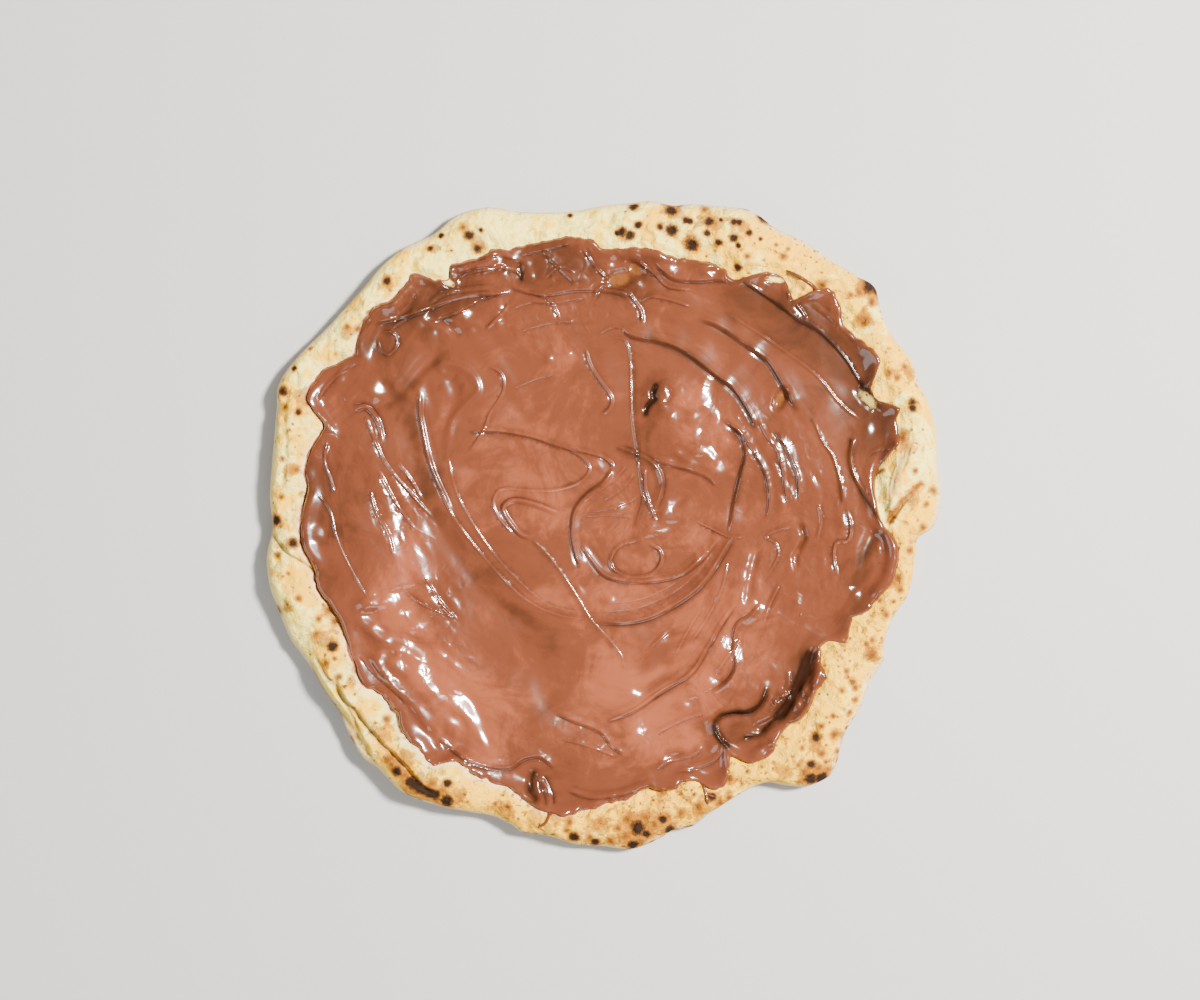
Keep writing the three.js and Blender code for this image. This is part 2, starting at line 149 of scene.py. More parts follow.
# Distance of each edge from the reading centre: (degrees from +X, pixels).
BREAD_EDGE = (
    (0, 333), (5, 342), (10, 343), (15, 349), (20, 351), (25, 350), (28, 354), (33, 349), (38, 355),
    (41.5, 365), (45, 359), (50, 354), (55, 352), (60, 348), (65, 352), (70, 344), (75, 337), (77.5, 332),
    (82, 332), (85, 328), (90, 324), (95, 320), (100, 322), (105, 329), (108, 338), (110, 343), (115, 347),
    (120, 341), (125, 345), (130, 345), (135, 341), (140, 341), (145, 344), (150, 351), (156, 357),
    (160, 350), (165, 343), (170, 339), (175, 337), (180, 333), (185, 340), (190, 341), (195, 337),
    (200, 334), (205, 327), (210, 326), (215, 325), (220, 331), (224, 335), (227, 332), (233, 334),
    (240, 325), (243, 320), (245, 317), (249, 312), (253, 314), (255, 318), (260, 316), (265, 321),
    (270, 322), (275, 326), (280, 320), (283, 314), (287, 315), (290, 309), (295, 304), (300, 303),
    (303, 307), (305, 318), (308, 332), (312, 339), (314, 337), (318, 324), (320, 320), (325, 317),
    (330, 312), (335, 313), (337, 308), (342, 306), (345, 310), (347, 314), (350, 316), (355, 316),
    (358, 318),
)
SPREAD_EDGE = (
    (0, 282), (3, 276), (8, 275), (12, 283), (14.5, 298), (16, 308), (20, 312), (22, 317), (25, 303),
    (28, 304), (31, 322), (35, 320), (40, 316), (42, 321), (46, 330), (48, 320), (50, 298), (53.5, 307),
    (57, 303), (62, 283), (66, 287), (70, 284), (75, 280), (80, 282), (85, 281), (90, 278), (92, 285),
    (97, 291), (103, 291), (106, 292), (109, 292), (111.5, 300), (114, 296), (118, 299), (120, 304),
    (122, 292), (124.2, 298), (126.5, 316), (130, 312), (133, 310), (137, 317), (142, 309), (145, 302),
    (148, 310), (151, 321), (155, 324), (157, 320), (160, 297), (163, 300), (168, 303), (173, 298),
    (178, 301), (183, 301), (188, 292), (192, 291), (198, 281), (203, 279), (208, 283), (213, 286),
    (216, 279), (222, 278), (225, 285), (230, 288), (234.5, 291), (237, 279), (239, 275), (242, 279),
    (250, 279), (256, 288), (260, 292), (263, 291), (270, 279), (275, 273), (280, 265), (282, 271),
    (285, 272), (289, 268), (293, 286), (296, 283), (299, 263), (302, 279), (307, 282), (309, 276),
    (313, 272), (316, 277), (322, 270), (326, 268), (329, 253), (333, 252), (334.5, 269), (340, 265),
    (342, 275), (346, 286), (350, 295), (355, 296), (358, 291),
)

# Height of the rim's crest, and how far the dough rises towards it: (degrees from +X, millimetres).
RIM_HEIGHT = (
    (0, 16), (25, 17), (45, 17), (70, 15), (95, 14), (115, 16), (140, 15), (165, 16), (190, 17), (215, 18),
    (232, 20), (250, 16), (275, 15), (300, 14), (312, 17), (330, 15), (347, 17),
)
DISH_RISE = ((0, 4.5), (45, 5.5), (90, 3), (140, 4), (180, 6.5), (215, 6.5), (260, 3), (310, 3))

# Over what width the spread rounds off towards its edge: (degrees from +X, millimetres).
SPREAD_ROUNDING = (
    (0, 4), (15, 4.5), (25, 7), (40, 9), (52, 8), (64, 6), (85, 6), (110, 5), (135, 4), (180, 3.6),
    (240, 3.6), (280, 5), (310, 4),
)

# How ragged the spread's edge is, and how far a chocolate stain reaches on the crust beside it, in
# millimetres. Where it is widest, away from the key light, it is also painted shadow of the spread's edge.
RAGGEDNESS = (
    (0, 0.2), (12, 0.3), (25, 1), (60, 1), (100, 0.9), (125, 1.1), (160, 0.5), (205, 0.4), (218, 0.7),
    (230, 1), (245, 0.9), (260, 0.8), (296, 1), (303, 0.25), (322, 0.25), (328, 1.2), (342, 1), (350, 0.3),
)
STAIN_AND_SHADOW_REACH = (
    (22, 0.6), (80, 0.7), (120, 1.2), (160, 1.6), (190, 2), (210, 1.7), (224, 0.6), (290, 0.8), (330, 0.7),
)

# How far beside the spread the crust keeps a duller colour, in millimetres: painted shade, widest on
# the side away from the key light, where the spread's edge shades the crust.
HEM_REACH = ((20, 0.5), (95, 0.6), (135, 3), (190, 4.5), (240, 4), (275, 1), (330, 0.5))

# How strongly the crust is baked, from 0 to 1.
BAKE = (
    (0, 0.45), (12, 0.25), (22, 0.45), (40, 0.55), (60, 0.55), (80, 0.2), (100, 0.1), (130, 0.12),
    (160, 0.3), (190, 0.25), (215, 0.3), (235, 0.5), (260, 0.7), (285, 0.75), (305, 0.65), (325, 0.6),
    (345, 0.65),
)

# Soft swells in the dough under the spread: x, y and radius in picture pixels, rise in millimetres.
SWELLS = (
    (682, 430, 48, 3.2), (380, 392, 30, 2.2), (366, 560, 60, 1.6), (760, 455, 32, 1.8), (395, 650, 50, 1.4),
    (484, 262, 22, 1.6), (866, 560, 34, 2), (545, 690, 40, -1.4), (530, 400, 60, -0.8),
)

# Marks in the spread: rise, width left and right of the path, seen along it, in millimetres, and
# the path in picture pixels. A rise below zero is a valley.
SPREAD_MARKS = {
    "long_scoop": (1.8, 12, 1.6, [(622, 325), (632, 334), (665, 341), (685, 350), (718, 375), (735, 388),
        (752, 415), (756, 427)]),
    "outer_scoop": (1.3, 9, 1.6, [(698, 317), (720, 325), (760, 353), (772, 364), (788, 392), (796, 408)]),
    "outer_crest": (0.4, 0.7, 1.2, [(728, 313), (760, 333), (797, 359), (820, 378), (840, 402),
        (860, 419)]),
    "rim_scoop": (0.3, 0.5, 1.6, [(722, 282), (745, 281), (770, 297), (798, 318), (818, 328), (845, 356),
        (862, 383), (878, 400), (866, 420)]),
    "rim_tongue_crest": (0.6, 2, 1.5, [(812, 303), (838, 322), (862, 345), (882, 362)]),
    "pulled_string": (0.9, 1.1, 1.1, [(783, 283), (792, 298), (803, 312), (806, 318)]),
    "top_wave": (1.4, 6, 1.5, [(655, 262), (672, 276), (692, 279), (715, 278), (735, 280)]),
    "top_slash": (1.0, 4, 1.4, [(543, 250), (560, 267), (577, 283)]),
    "top_thread": (0.9, 1.0, 0.8, [(583, 249), (597, 268), (608, 278)]),
    "upper_left_wave": (1.3, 3.5, 1.4, [(373, 322), (395, 317), (420, 310), (445, 300), (475, 293),
        (503, 293)]),
    "upper_wave": (1.1, 3, 1.4, [(508, 284), (530, 291), (550, 292), (575, 288), (610, 289), (632, 296)]),
    "upper_left_fold": (0.9, 2.4, 1.2, [(452, 281), (465, 269), (485, 265), (512, 267)]),
    "upper_left_rib": (0.8, 1.4, 1.4, [(428, 302), (442, 293), (462, 289), (490, 286)]),
    "small_ring": (0.7, 0.8, 1.0, [(379, 333), (388, 331), (396, 336), (395, 347), (387, 354), (379, 349),
        (377, 339)]),
    "big_scoop": (0.85, 1.7, 1.2, [(419, 392), (420, 420), (430, 465), (452, 515)]),
    "big_scoop_low": (0.42, 0.6, 1.8, [(440, 492), (456, 522), (490, 565), (525, 600), (560, 616),
        (592, 620)]),
    "big_scoop_second": (0.35, 0.5, 1.4, [(447, 455), (457, 495), (483, 540), (512, 575), (545, 603),
        (580, 614)]),
    "big_scoop_valley": (-0.4, 9, 7, [(404, 400), (410, 450), (428, 505), (462, 562), (505, 610),
        (550, 634)]),
    "lens_edge": (0.9, 2.2, 3.5, [(428, 372), (445, 362), (468, 370), (478, 388), (468, 402), (452, 420),
        (446, 450)]),
    "lens_hollow": (-0.8, 5, 5, [(450, 375), (455, 395), (445, 420)]),
    "thin_lash": (0.6, 1.3, 0.6, [(487, 365), (500, 373), (503, 385), (499, 397), (489, 412), (482, 430),
        (467, 453)]),
    "serpent_top": (0.9, 1.5, 0.9, [(467, 431), (495, 430), (530, 436), (560, 446), (595, 454), (609, 461),
        (613, 469)]),
    "serpent_belly": (1.5, 3.5, 1.3, [(613, 469), (603, 483), (585, 497), (574, 513), (572, 535),
        (576, 556), (581, 568)]),
    "serpent_inner": (0.7, 1.3, 0.7, [(560, 446), (580, 456), (589, 468), (580, 481), (556, 489),
        (528, 490), (500, 487)]),
    "hook_outer": (0.6, 1.3, 0.7, [(515, 487), (498, 490), (492, 503), (498, 518), (510, 532)]),
    "hook_inner": (1.0, 1.6, 1.2, [(560, 514), (535, 504), (514, 500), (503, 506), (505, 516), (518, 533),
        (530, 538)]),
    "beaded_thread": (0.28, 0.35, 0.9, [(530, 538), (546, 553), (560, 571), (576, 595), (592, 621),
        (612, 643), (623, 660), (617, 672)]),
    "plumb_thread": (0.5, 0.55, 1.0, [(602, 338), (620, 337), (629, 347), (631, 380), (632, 415),
        (637, 452), (641, 482), (643, 500), (635, 526)]),
    "leaf_right": (1.3, 1.5, 2.5, [(618, 448), (638, 454), (655, 465), (662, 480), (660, 495), (654, 510)]),
    "leaf_left": (0.8, 1.2, 0.7, [(645, 468), (645, 488), (651, 508), (656, 521)]),
    "leaf_tail": (0.7, 2.5, 1.3, [(655, 459), (680, 466), (704, 474), (718, 485)]),
    "leaf_drop": (0.8, 1.4, 0.8, [(585, 348), (589, 363), (600, 381), (611, 397), (609, 408), (601, 414)]),
    "inner_bowl": (1.1, 2.5, 1.4, [(581, 543), (590, 558), (605, 575), (628, 581), (658, 580), (683, 573),
        (706, 554), (720, 536)]),
    "outer_bowl": (1.3, 2.5, 1.8, [(590, 621), (625, 622), (652, 616), (680, 601), (703, 582), (722, 554),
        (732, 536)]),
    "spiral_wall": (1.6, 1.6, 5, [(731, 535), (735, 508), (741, 480), (747, 455), (742, 436), (728, 420)]),
    "eye": (0.8, 1.3, 0.9, [(650, 545), (660, 551), (661, 563), (650, 575), (630, 577), (614, 570),
        (611, 558), (622, 545), (645, 539)]),
    "right_wave_1": (0.9, 2.4, 1.2, [(724, 419), (742, 433), (757, 455), (768, 477), (771, 500),
        (768, 520)]),
    "right_wave_2": (0.8, 1.9, 1.1, [(759, 419), (768, 436), (779, 452), (784, 475), (788, 500)]),
    "right_wave_3": (0.9, 2.2, 1.2, [(774, 430), (786, 446), (793, 462), (799, 478), (800, 505)]),
    "right_wave_4": (0.35, 0.4, 1.6, [(817, 424), (823, 440), (834, 456), (841, 478), (845, 496),
        (842, 508)]),
    "right_wall": (0.5, 0.5, 2.0, [(856, 438), (852, 455), (856, 475), (868, 497), (880, 520)]),
    "right_lobe_hollow": (-1.3, 5, 5, [(876, 528), (866, 552), (862, 575), (853, 592)]),
    "right_lobe_crest": (1.1, 5, 5, [(884, 528), (891, 550), (888, 575), (872, 598)]),
    "right_hook": (0.9, 1.3, 0.8, [(847, 508), (851, 526), (848, 540), (836, 543), (834, 560), (838, 576)]),
    "right_pit": (-1.5, 1.6, 2.4, [(802, 524), (806, 536), (802, 547), (797, 558), (798, 572)]),
    "right_thread": (0.6, 0.7, 0.9, [(792, 527), (778, 530), (767, 537), (777, 544), (779, 556),
        (769, 575)]),
    "right_valley": (-1.2, 3, 3, [(760, 545), (752, 575), (747, 607)]),
    "lower_fold": (1.2, 3, 1.4, [(762, 604), (752, 616), (738, 627), (735, 650), (737, 668), (728, 684),
        (704, 699)]),
    "long_line": (1.4, 1.5, 3, [(735, 603), (720, 626), (706, 650), (690, 674), (662, 691), (635, 710),
        (602, 723)]),
    "fine_line_1": (0.5, 0.6, 1.3, [(729, 560), (722, 590), (708, 618), (690, 645)]),
    "fine_line_2": (0.5, 0.6, 1.3, [(700, 612), (688, 632), (676, 655)]),
    "soft_valley": (-0.6, 9, 9, [(545, 655), (545, 690), (553, 713), (578, 727), (600, 735)]),
    "soft_valley_crease": (1.0, 3, 1.4, [(556, 714), (575, 722), (600, 732), (612, 746), (626, 756)]),
    "lower_left_fold": (1.3, 4, 1.5, [(438, 738), (455, 750), (480, 764), (508, 768), (522, 759),
        (540, 757), (556, 770)]),
    "lower_left_slope": (1.2, 5, 3, [(372, 655), (388, 680), (410, 700), (432, 733)]),
    "drip_hollow": (-2.2, 3, 2.5, [(533, 772), (530, 788), (536, 800)]),
    "drip_crest": (1.2, 1.8, 1.8, [(540, 778), (548, 795), (550, 806)]),
    "bottom_line": (0.9, 2, 1.3, [(567, 791), (590, 797), (620, 794), (652, 783)]),
    "bottom_right_line": (0.8, 1.9, 1.2, [(674, 771), (700, 767), (717, 758), (722, 743), (716, 732)]),
    "curl_edge": (2.4, 1.5, 7, [(768, 687), (763, 699), (758, 707), (749, 712), (734, 712), (721, 716),
        (714, 724), (718, 737), (728, 748)]),
    "curl_ridge": (2.6, 3, 3.2, [(764, 750), (786, 735), (802, 714), (812, 690), (821, 662)]),
    "curl_channel": (-2.9, 3.4, 3, [(752, 733), (775, 722), (792, 702), (803, 678), (817, 645)]),
    "curl_channel_tail": (-1.2, 1.2, 1.6, [(744, 739), (760, 736), (771, 725), (783, 712)]),
    "curl_knob": (1.0, 1.8, 1, [(774, 706), (779, 698), (787, 697), (792, 692)]),
    "left_lump_valley": (-1.3, 5, 5, [(352, 412), (382, 404), (404, 388), (422, 366), (444, 348)]),
    "upper_left_valley": (-1.3, 3, 3, [(392, 320), (406, 307), (414, 293)]),
    "upper_left_valley_2": (-1.1, 3, 3, [(424, 314), (443, 322), (460, 336)]),
    "pit_top": (-0.9, 1.4, 1.4, [(520, 262), (521, 278)]),
    "pit_middle": (-1.9, 1.3, 1.9, [(656, 385), (653, 393), (655, 398), (648, 405), (646, 413)]),
    "pit_middle_side": (-0.9, 1.2, 1.6, [(668, 386), (671, 396), (664, 404)]),
    "left_arc": (0.9, 1.5, 1.5, [(352, 409), (366, 407), (377, 420), (382, 440)]),
    "left_streak_1": (0.6, 1.2, 0.8, [(364, 413), (373, 438), (385, 463), (405, 488), (431, 517)]),
    "left_streak_2": (0.6, 1.2, 0.8, [(397, 462), (410, 480), (421, 499)]),
    "left_streak_3": (0.6, 1.2, 0.8, [(378, 472), (395, 503), (415, 531)]),
    "left_streak_4": (0.6, 1.2, 0.8, [(370, 489), (374, 508), (388, 535), (393, 556)]),
    "left_thread": (0.3, 0.5, 1.0, [(317, 493), (330, 510), (338, 540), (352, 570), (372, 604)]),
    "lower_thread": (0.6, 0.6, 0.9, [(405, 592), (425, 606), (456, 619)]),
    "lower_thread_2": (0.6, 0.9, 0.6, [(425, 578), (440, 603), (457, 620)]),
    "pleat_1": (0.5, 0.7, 1.6, [(626, 466), (613, 481), (596, 493), (584, 502)]),
    "pleat_2": (0.5, 0.7, 1.6, [(634, 474), (622, 489), (603, 500)]),
    "pleat_3": (0.4, 0.6, 1.4, [(638, 496), (620, 506), (590, 512)]),
    "pleat_4": (0.4, 0.6, 1.2, [(633, 517), (610, 515), (583, 516)]),
    "bowl_line_1": (0.4, 1.6, 0.6, [(598, 612), (638, 608), (674, 592), (700, 570), (717, 545)]),
    "bowl_line_2": (0.35, 1.4, 0.6, [(596, 603), (638, 600), (672, 585), (694, 565)]),
    "cross_thread": (0.6, 0.8, 0.6, [(697, 522), (712, 529), (729, 537), (743, 537)]),
    "upper_ridge_1": (1.0, 2.4, 0.9, [(436, 268), (466, 262), (493, 254), (520, 260)]),
    "upper_ridge_2": (0.9, 1.8, 0.8, [(520, 254), (554, 246), (570, 242)]),
    "upper_ridge_3": (0.6, 1.6, 0.8, [(459, 276), (489, 269), (514, 270), (522, 279)]),
    "upper_ridge_4": (0.9, 2.2, 0.9, [(432, 321), (459, 310), (485, 296), (508, 291)]),
    "upper_ridge_5": (0.8, 0.8, 1.6, [(484, 329), (500, 314), (508, 302)]),
    "upper_ridge_6": (0.7, 1.8, 0.8, [(512, 307), (531, 301), (554, 302), (585, 296)]),
    "upper_ridge_7": (0.9, 1.6, 0.9, [(593, 299), (604, 284), (627, 288)]),
    "upper_ridge_8": (0.8, 1.4, 0.9, [(545, 276), (560, 266), (574, 271)]),
    "upper_ridge_9": (0.8, 1.8, 0.9, [(390, 328), (415, 312), (438, 307)]),
    "upper_ridge_10": (0.8, 1.2, 0.8, [(640, 262), (655, 274), (668, 286), (690, 289)]),
    "upper_ridge_11": (0.7, 1.2, 0.7, [(640, 300), (652, 296), (672, 300), (690, 306)]),
    "upper_wrinkle_1": (0.5, 1, 0.6, [(600, 332), (612, 326), (626, 328)]),
    "upper_wrinkle_2": (0.5, 1, 0.6, [(520, 330), (548, 322), (575, 320)]),
    "upper_wrinkle_3": (0.4, 1.4, 0.6, [(512, 388), (535, 378), (552, 374)]),
    "upper_line": (0.7, 1.2, 0.7, [(521, 291), (536, 294), (549, 299), (554, 308), (559, 318)]),
    "upper_hook": (1.0, 1.8, 0.9, [(628, 291), (636, 302), (641, 311), (642, 322)]),
    "left_rib": (0.7, 1.2, 0.8, [(327, 440), (324, 460), (330, 480), (334, 492)]),
    "left_rib_2": (0.7, 1.4, 0.8, [(318, 400), (326, 386), (340, 372), (356, 362)]),
    "right_rib": (0.8, 1.4, 0.9, [(868, 455), (879, 449), (891, 449)]),
    "right_rib_2": (0.7, 0.8, 1.4, [(820, 504), (822, 522), (818, 540)]),
    "right_rib_3": (0.7, 0.8, 1.6, [(780, 585), (770, 606), (765, 622)]),
    "lower_rib_1": (0.6, 0.7, 1.6, [(742, 640), (726, 660), (716, 676)]),
    "lower_rib_2": (0.5, 0.7, 1.4, [(676, 627), (663, 638), (650, 648)]),
    "lower_rib_3": (0.6, 1.4, 0.8, [(655, 735), (680, 722), (705, 714)]),
    "lower_rib_4": (0.5, 1.4, 0.7, [(560, 740), (590, 748), (615, 758)]),
    "bottom_rib": (0.7, 1.6, 0.9, [(655, 770), (672, 761), (690, 757), (702, 748)]),
    "curl_fold": (0.8, 1.6, 1.2, [(770, 712), (782, 700), (789, 686), (790, 672)]),
    "left_long_glint": (0.6, 1.8, 1, [(360, 655), (376, 674), (394, 690), (408, 704)]),
}

# Folds and creases in the crust, given the same way.
CRUST_MARKS = {
    "right_inner_valley": (-3, 4, 4, [(881, 446), (878, 480), (887, 520)]),
    "right_inner_crest": (1.5, 3, 4, [(896, 436), (898, 470), (889, 505)]),
    "right_outer_crease": (-2, 2.5, 2.5, [(886, 530), (897, 514), (910, 500), (926, 482)]),
    "right_fold_crest": (1.9, 0.7, 3.5, [(888, 530), (895, 519), (900, 511), (907, 502), (914, 495),
        (925, 488)]),
    "right_pocket_ridge": (1.0, 0.9, 1.3, [(912, 448), (911, 459), (904, 471), (901, 481), (901, 490)]),
    "right_pocket_ridge_2": (1.2, 1, 1, [(895, 436), (897, 454), (896, 466), (892, 478), (890, 490)]),
    "right_notch": (-3, 4, 3, [(905, 539), (938, 538)]),
    "lower_left_outer_wrinkle": (-2.6, 3, 3, [(306, 660), (325, 690), (345, 716), (372, 758)]),
    "lower_left_middle_wrinkle": (-1.6, 2, 2, [(318, 662), (338, 694), (356, 722), (380, 752)]),
    "lower_left_inner_wrinkle": (-2.2, 2.5, 2.5, [(333, 672), (340, 695), (352, 708), (372, 735),
        (395, 757), (424, 786)]),
    "lower_left_lobe": (1.6, 4, 4, [(385, 730), (400, 742), (420, 756), (448, 776)]),
    "left_crease": (-1.8, 2.5, 3, [(266, 528), (285, 553), (300, 562), (316, 572)]),
    "left_upper_crease": (-1.4, 2.5, 3, [(290, 385), (284, 410), (286, 450), (280, 492)]),
    "lower_right_notch": (-2.5, 3, 3, [(748, 800), (760, 790), (785, 786), (800, 806)]),
    "upper_left_crease": (-1.2, 2.5, 3, [(356, 330), (370, 308), (395, 280), (420, 254)]),
    "top_crease": (-1, 2.5, 2.5, [(500, 236), (525, 228), (548, 226), (600, 222)]),
    "top_right_crease": (-1.2, 3, 3, [(690, 256), (720, 248), (750, 248), (820, 272)]),
}

# Sharp creases in the crust: half width in millimetres, path in picture pixels.
CRUST_CREASES = {
    "lower_left_outer": (1.3, [(306, 660), (318, 684), (332, 704), (348, 726), (362, 748), (378, 768)]),
    "lower_left_outer_2": (1.0, [(312, 650), (326, 676), (340, 690), (352, 716), (360, 738)]),
    "lower_left_inner": (1.1, [(333, 672), (341, 696), (356, 712), (374, 736), (398, 760), (424, 787),
        (446, 796)]),
    "lower_left_char": (1.2, [(402, 772), (418, 784), (436, 793)]),
    "right_fold": (1.0, [(886, 526), (892, 517), (897, 509), (904, 500), (911, 493), (921, 485)]),
    "right_fold_2": (1.9, [(903, 450), (900, 464), (896, 476), (893, 487), (893, 500)]),
    "right_fold_3": (0.7, [(884, 516), (889, 503), (889, 490), (891, 478)]),
    "right_fold_4": (0.7, [(909, 446), (907, 458), (904, 466)]),
    "right_notch": (0.8, [(906, 540), (922, 541), (938, 536)]),
    "bottom_right": (0.7, [(778, 790), (790, 798), (797, 806)]),
    "left": (0.5, [(268, 530), (284, 550), (300, 561), (314, 570)]),
    "top_left": (0.5, [(352, 332), (364, 318), (380, 300)]),
}
CREASE_DEPTH = 1.5                 # in half widths
DEEPEST_CREASE = 1.8 * MM

# Burnt and toasted spots on the crust: (x, y, radius) in picture pixels.
CHAR_SPOTS = (
    (671, 209, 5.5), (679, 201, 4), (709, 221, 4.5), (672, 230, 5.5), (660, 227, 3), (638, 225, 3),
    (622, 232, 4), (630, 235, 4), (617, 233, 2.5), (634, 206, 4), (686, 220, 3), (690, 221, 3),
    (692, 244, 6), (707, 233, 3), (718, 243, 3.2), (733, 238, 3.5), (721, 220, 2), (734, 222, 3),
    (739, 222, 3), (749, 233, 3), (738, 246, 2.3), (760, 239, 2), (738, 267, 3.2), (764, 217, 5),
    (747, 206, 3), (703, 202, 2), (721, 202, 2), (870, 285, 7), (876, 287, 6), (898, 336, 3),
    (912, 402, 3.5), (912, 408, 3.5), (469, 235, 4), (477, 248, 4), (481, 230, 2), (441, 235, 2.5),
    (430, 248, 2.5), (387, 281, 3.5), (570, 214, 2.5), (283, 391, 4), (294, 368, 2.5), (299, 412, 3),
    (310, 401, 4), (276, 520, 4.5), (294, 543, 4), (397, 770, 4.5), (448, 782, 4), (447, 800, 6),
    (638, 828, 7), (646, 834, 4), (633, 846, 5), (670, 831, 4.5), (691, 833, 5), (652, 845, 3),
    (663, 820, 4), (811, 779, 6), (822, 778, 6), (811, 764, 4), (816, 737, 4), (333, 646, 4.5),
    (358, 668, 4), (574, 837, 4.5), (595, 843, 4), (712, 797, 4),
)
TOAST_SPOTS = (
    (747, 257, 3), (783, 257, 3.5), (776, 245, 2), (788, 249, 2), (705, 209, 4), (822, 285, 5),
    (851, 295, 3), (872, 300, 4), (865, 320, 6), (904, 367, 3), (888, 374, 4), (896, 378, 3), (903, 434, 4),
    (463, 227, 4), (358, 328, 3), (347, 327, 3), (309, 348, 2), (285, 407, 3), (296, 470, 3.2),
    (283, 459, 2.5), (282, 497, 2.5), (278, 555, 3), (317, 633, 3), (340, 676, 3), (326, 663, 4),
    (335, 658, 2), (387, 719, 4), (289, 573, 2), (299, 598, 3), (276, 610, 5), (319, 619, 3), (329, 610, 4),
    (335, 622, 4), (389, 759, 5), (495, 804, 2), (508, 807, 3), (436, 798, 5), (566, 830, 3), (821, 726, 3),
    (835, 735, 5), (822, 753, 4), (798, 764, 2.5), (847, 671, 2.5), (873, 640, 3), (902, 438, 5),
    (872, 655, 6), (856, 700, 3), (856, 688, 3), (729, 798, 4), (628, 820, 6), (645, 818, 6), (650, 832, 5),
    (640, 842, 6), (626, 836, 6), (618, 828, 4), (655, 824, 4), (806, 772, 5), (828, 770, 4), (800, 782, 3),
    (818, 768, 5), (864, 284, 5), (880, 294, 5), (872, 302, 4), (860, 292, 4), (405, 775, 5), (432, 782, 4),
    (440, 792, 5), (392, 764, 5), (666, 817, 5), (681, 813, 4), (699, 808, 5), (720, 803, 4),
    (662, 793, 3.5), (611, 842, 4), (590, 838, 3.5), (570, 822, 3), (897, 579, 5), (886, 615, 3),
    (880, 600, 2.5), (893, 601, 2), (842, 690, 3), (850, 713, 3), (833, 716, 2.5), (838, 752, 3),
    (826, 762, 2.5), (802, 748, 2.5), (915, 471, 2.5), (927, 504, 2.5), (934, 490, 4), (923, 527, 4),
    (910, 550, 3.5), (900, 590, 3),
)

# Burnt and toasted lines: half width and path in picture pixels.
CHAR_LINES = ((4.6, [(411, 781), (420, 787), (428, 791), (436, 794)]),)
TOAST_LINES = (
    (3.2, [(890, 520), (894, 513), (899, 506), (904, 500)]),
    (2.6, [(911, 493), (916, 488), (921, 483)]),
    (1.6, [(884, 470), (876, 474), (871, 478)]),
)
SPOT_HEIGHT_WEIGHT = 0.6           # how much a difference in height takes a place away from a spot
TOAST_LINE_MOST = 0.3              # how strongly the toasted lines are baked, where a spot has 1

# Larger scorched patches around them, given as the spots are.
SCORCHES = (
    (870, 289, 17), (636, 828, 20), (816, 778, 19), (418, 784, 20), (672, 212, 14), (692, 243, 12),
    (712, 222, 14), (740, 228, 12), (863, 318, 12), (905, 372, 14), (906, 446, 13), (852, 735, 14),
    (872, 655, 12), (660, 820, 20), (600, 822, 16), (560, 818, 14), (700, 812, 16), (384, 735, 14),
    (405, 755, 14), (322, 640, 14), (330, 612, 12), (303, 398, 14), (292, 470, 10), (286, 545, 10),
    (478, 244, 12), (432, 246, 10), (388, 284, 9), (350, 330, 9), (912, 500, 12), (896, 584, 9),
    (884, 612, 9), (892, 515, 6), (916, 488, 6), (666, 817, 9), (681, 813, 7), (699, 808, 9), (720, 803, 8),
    (632, 849, 8), (728, 805, 5), (662, 793, 7), (590, 842, 10), (615, 838, 9), (812, 742, 14),
    (782, 770, 12), (500, 806, 12), (460, 795, 13), (620, 234, 10), (288, 608, 10),
)

# Places where the bread shows through the spread: x, y, half length and half width in picture
# pixels, the way it runs in degrees, and how pale its bread is, from 0 to 1.
BARE_PATCHES = (
    (620, 278, 13, 8, 20, 0), (636, 268, 9, 5, -40, 0), (781, 399, 10, 5, 68, 0),
    (868, 399, 12, 5, -44, 0.6), (775, 279, 10, 3.5, -8, 1), (446, 280, 9, 4, -35, 1),
)

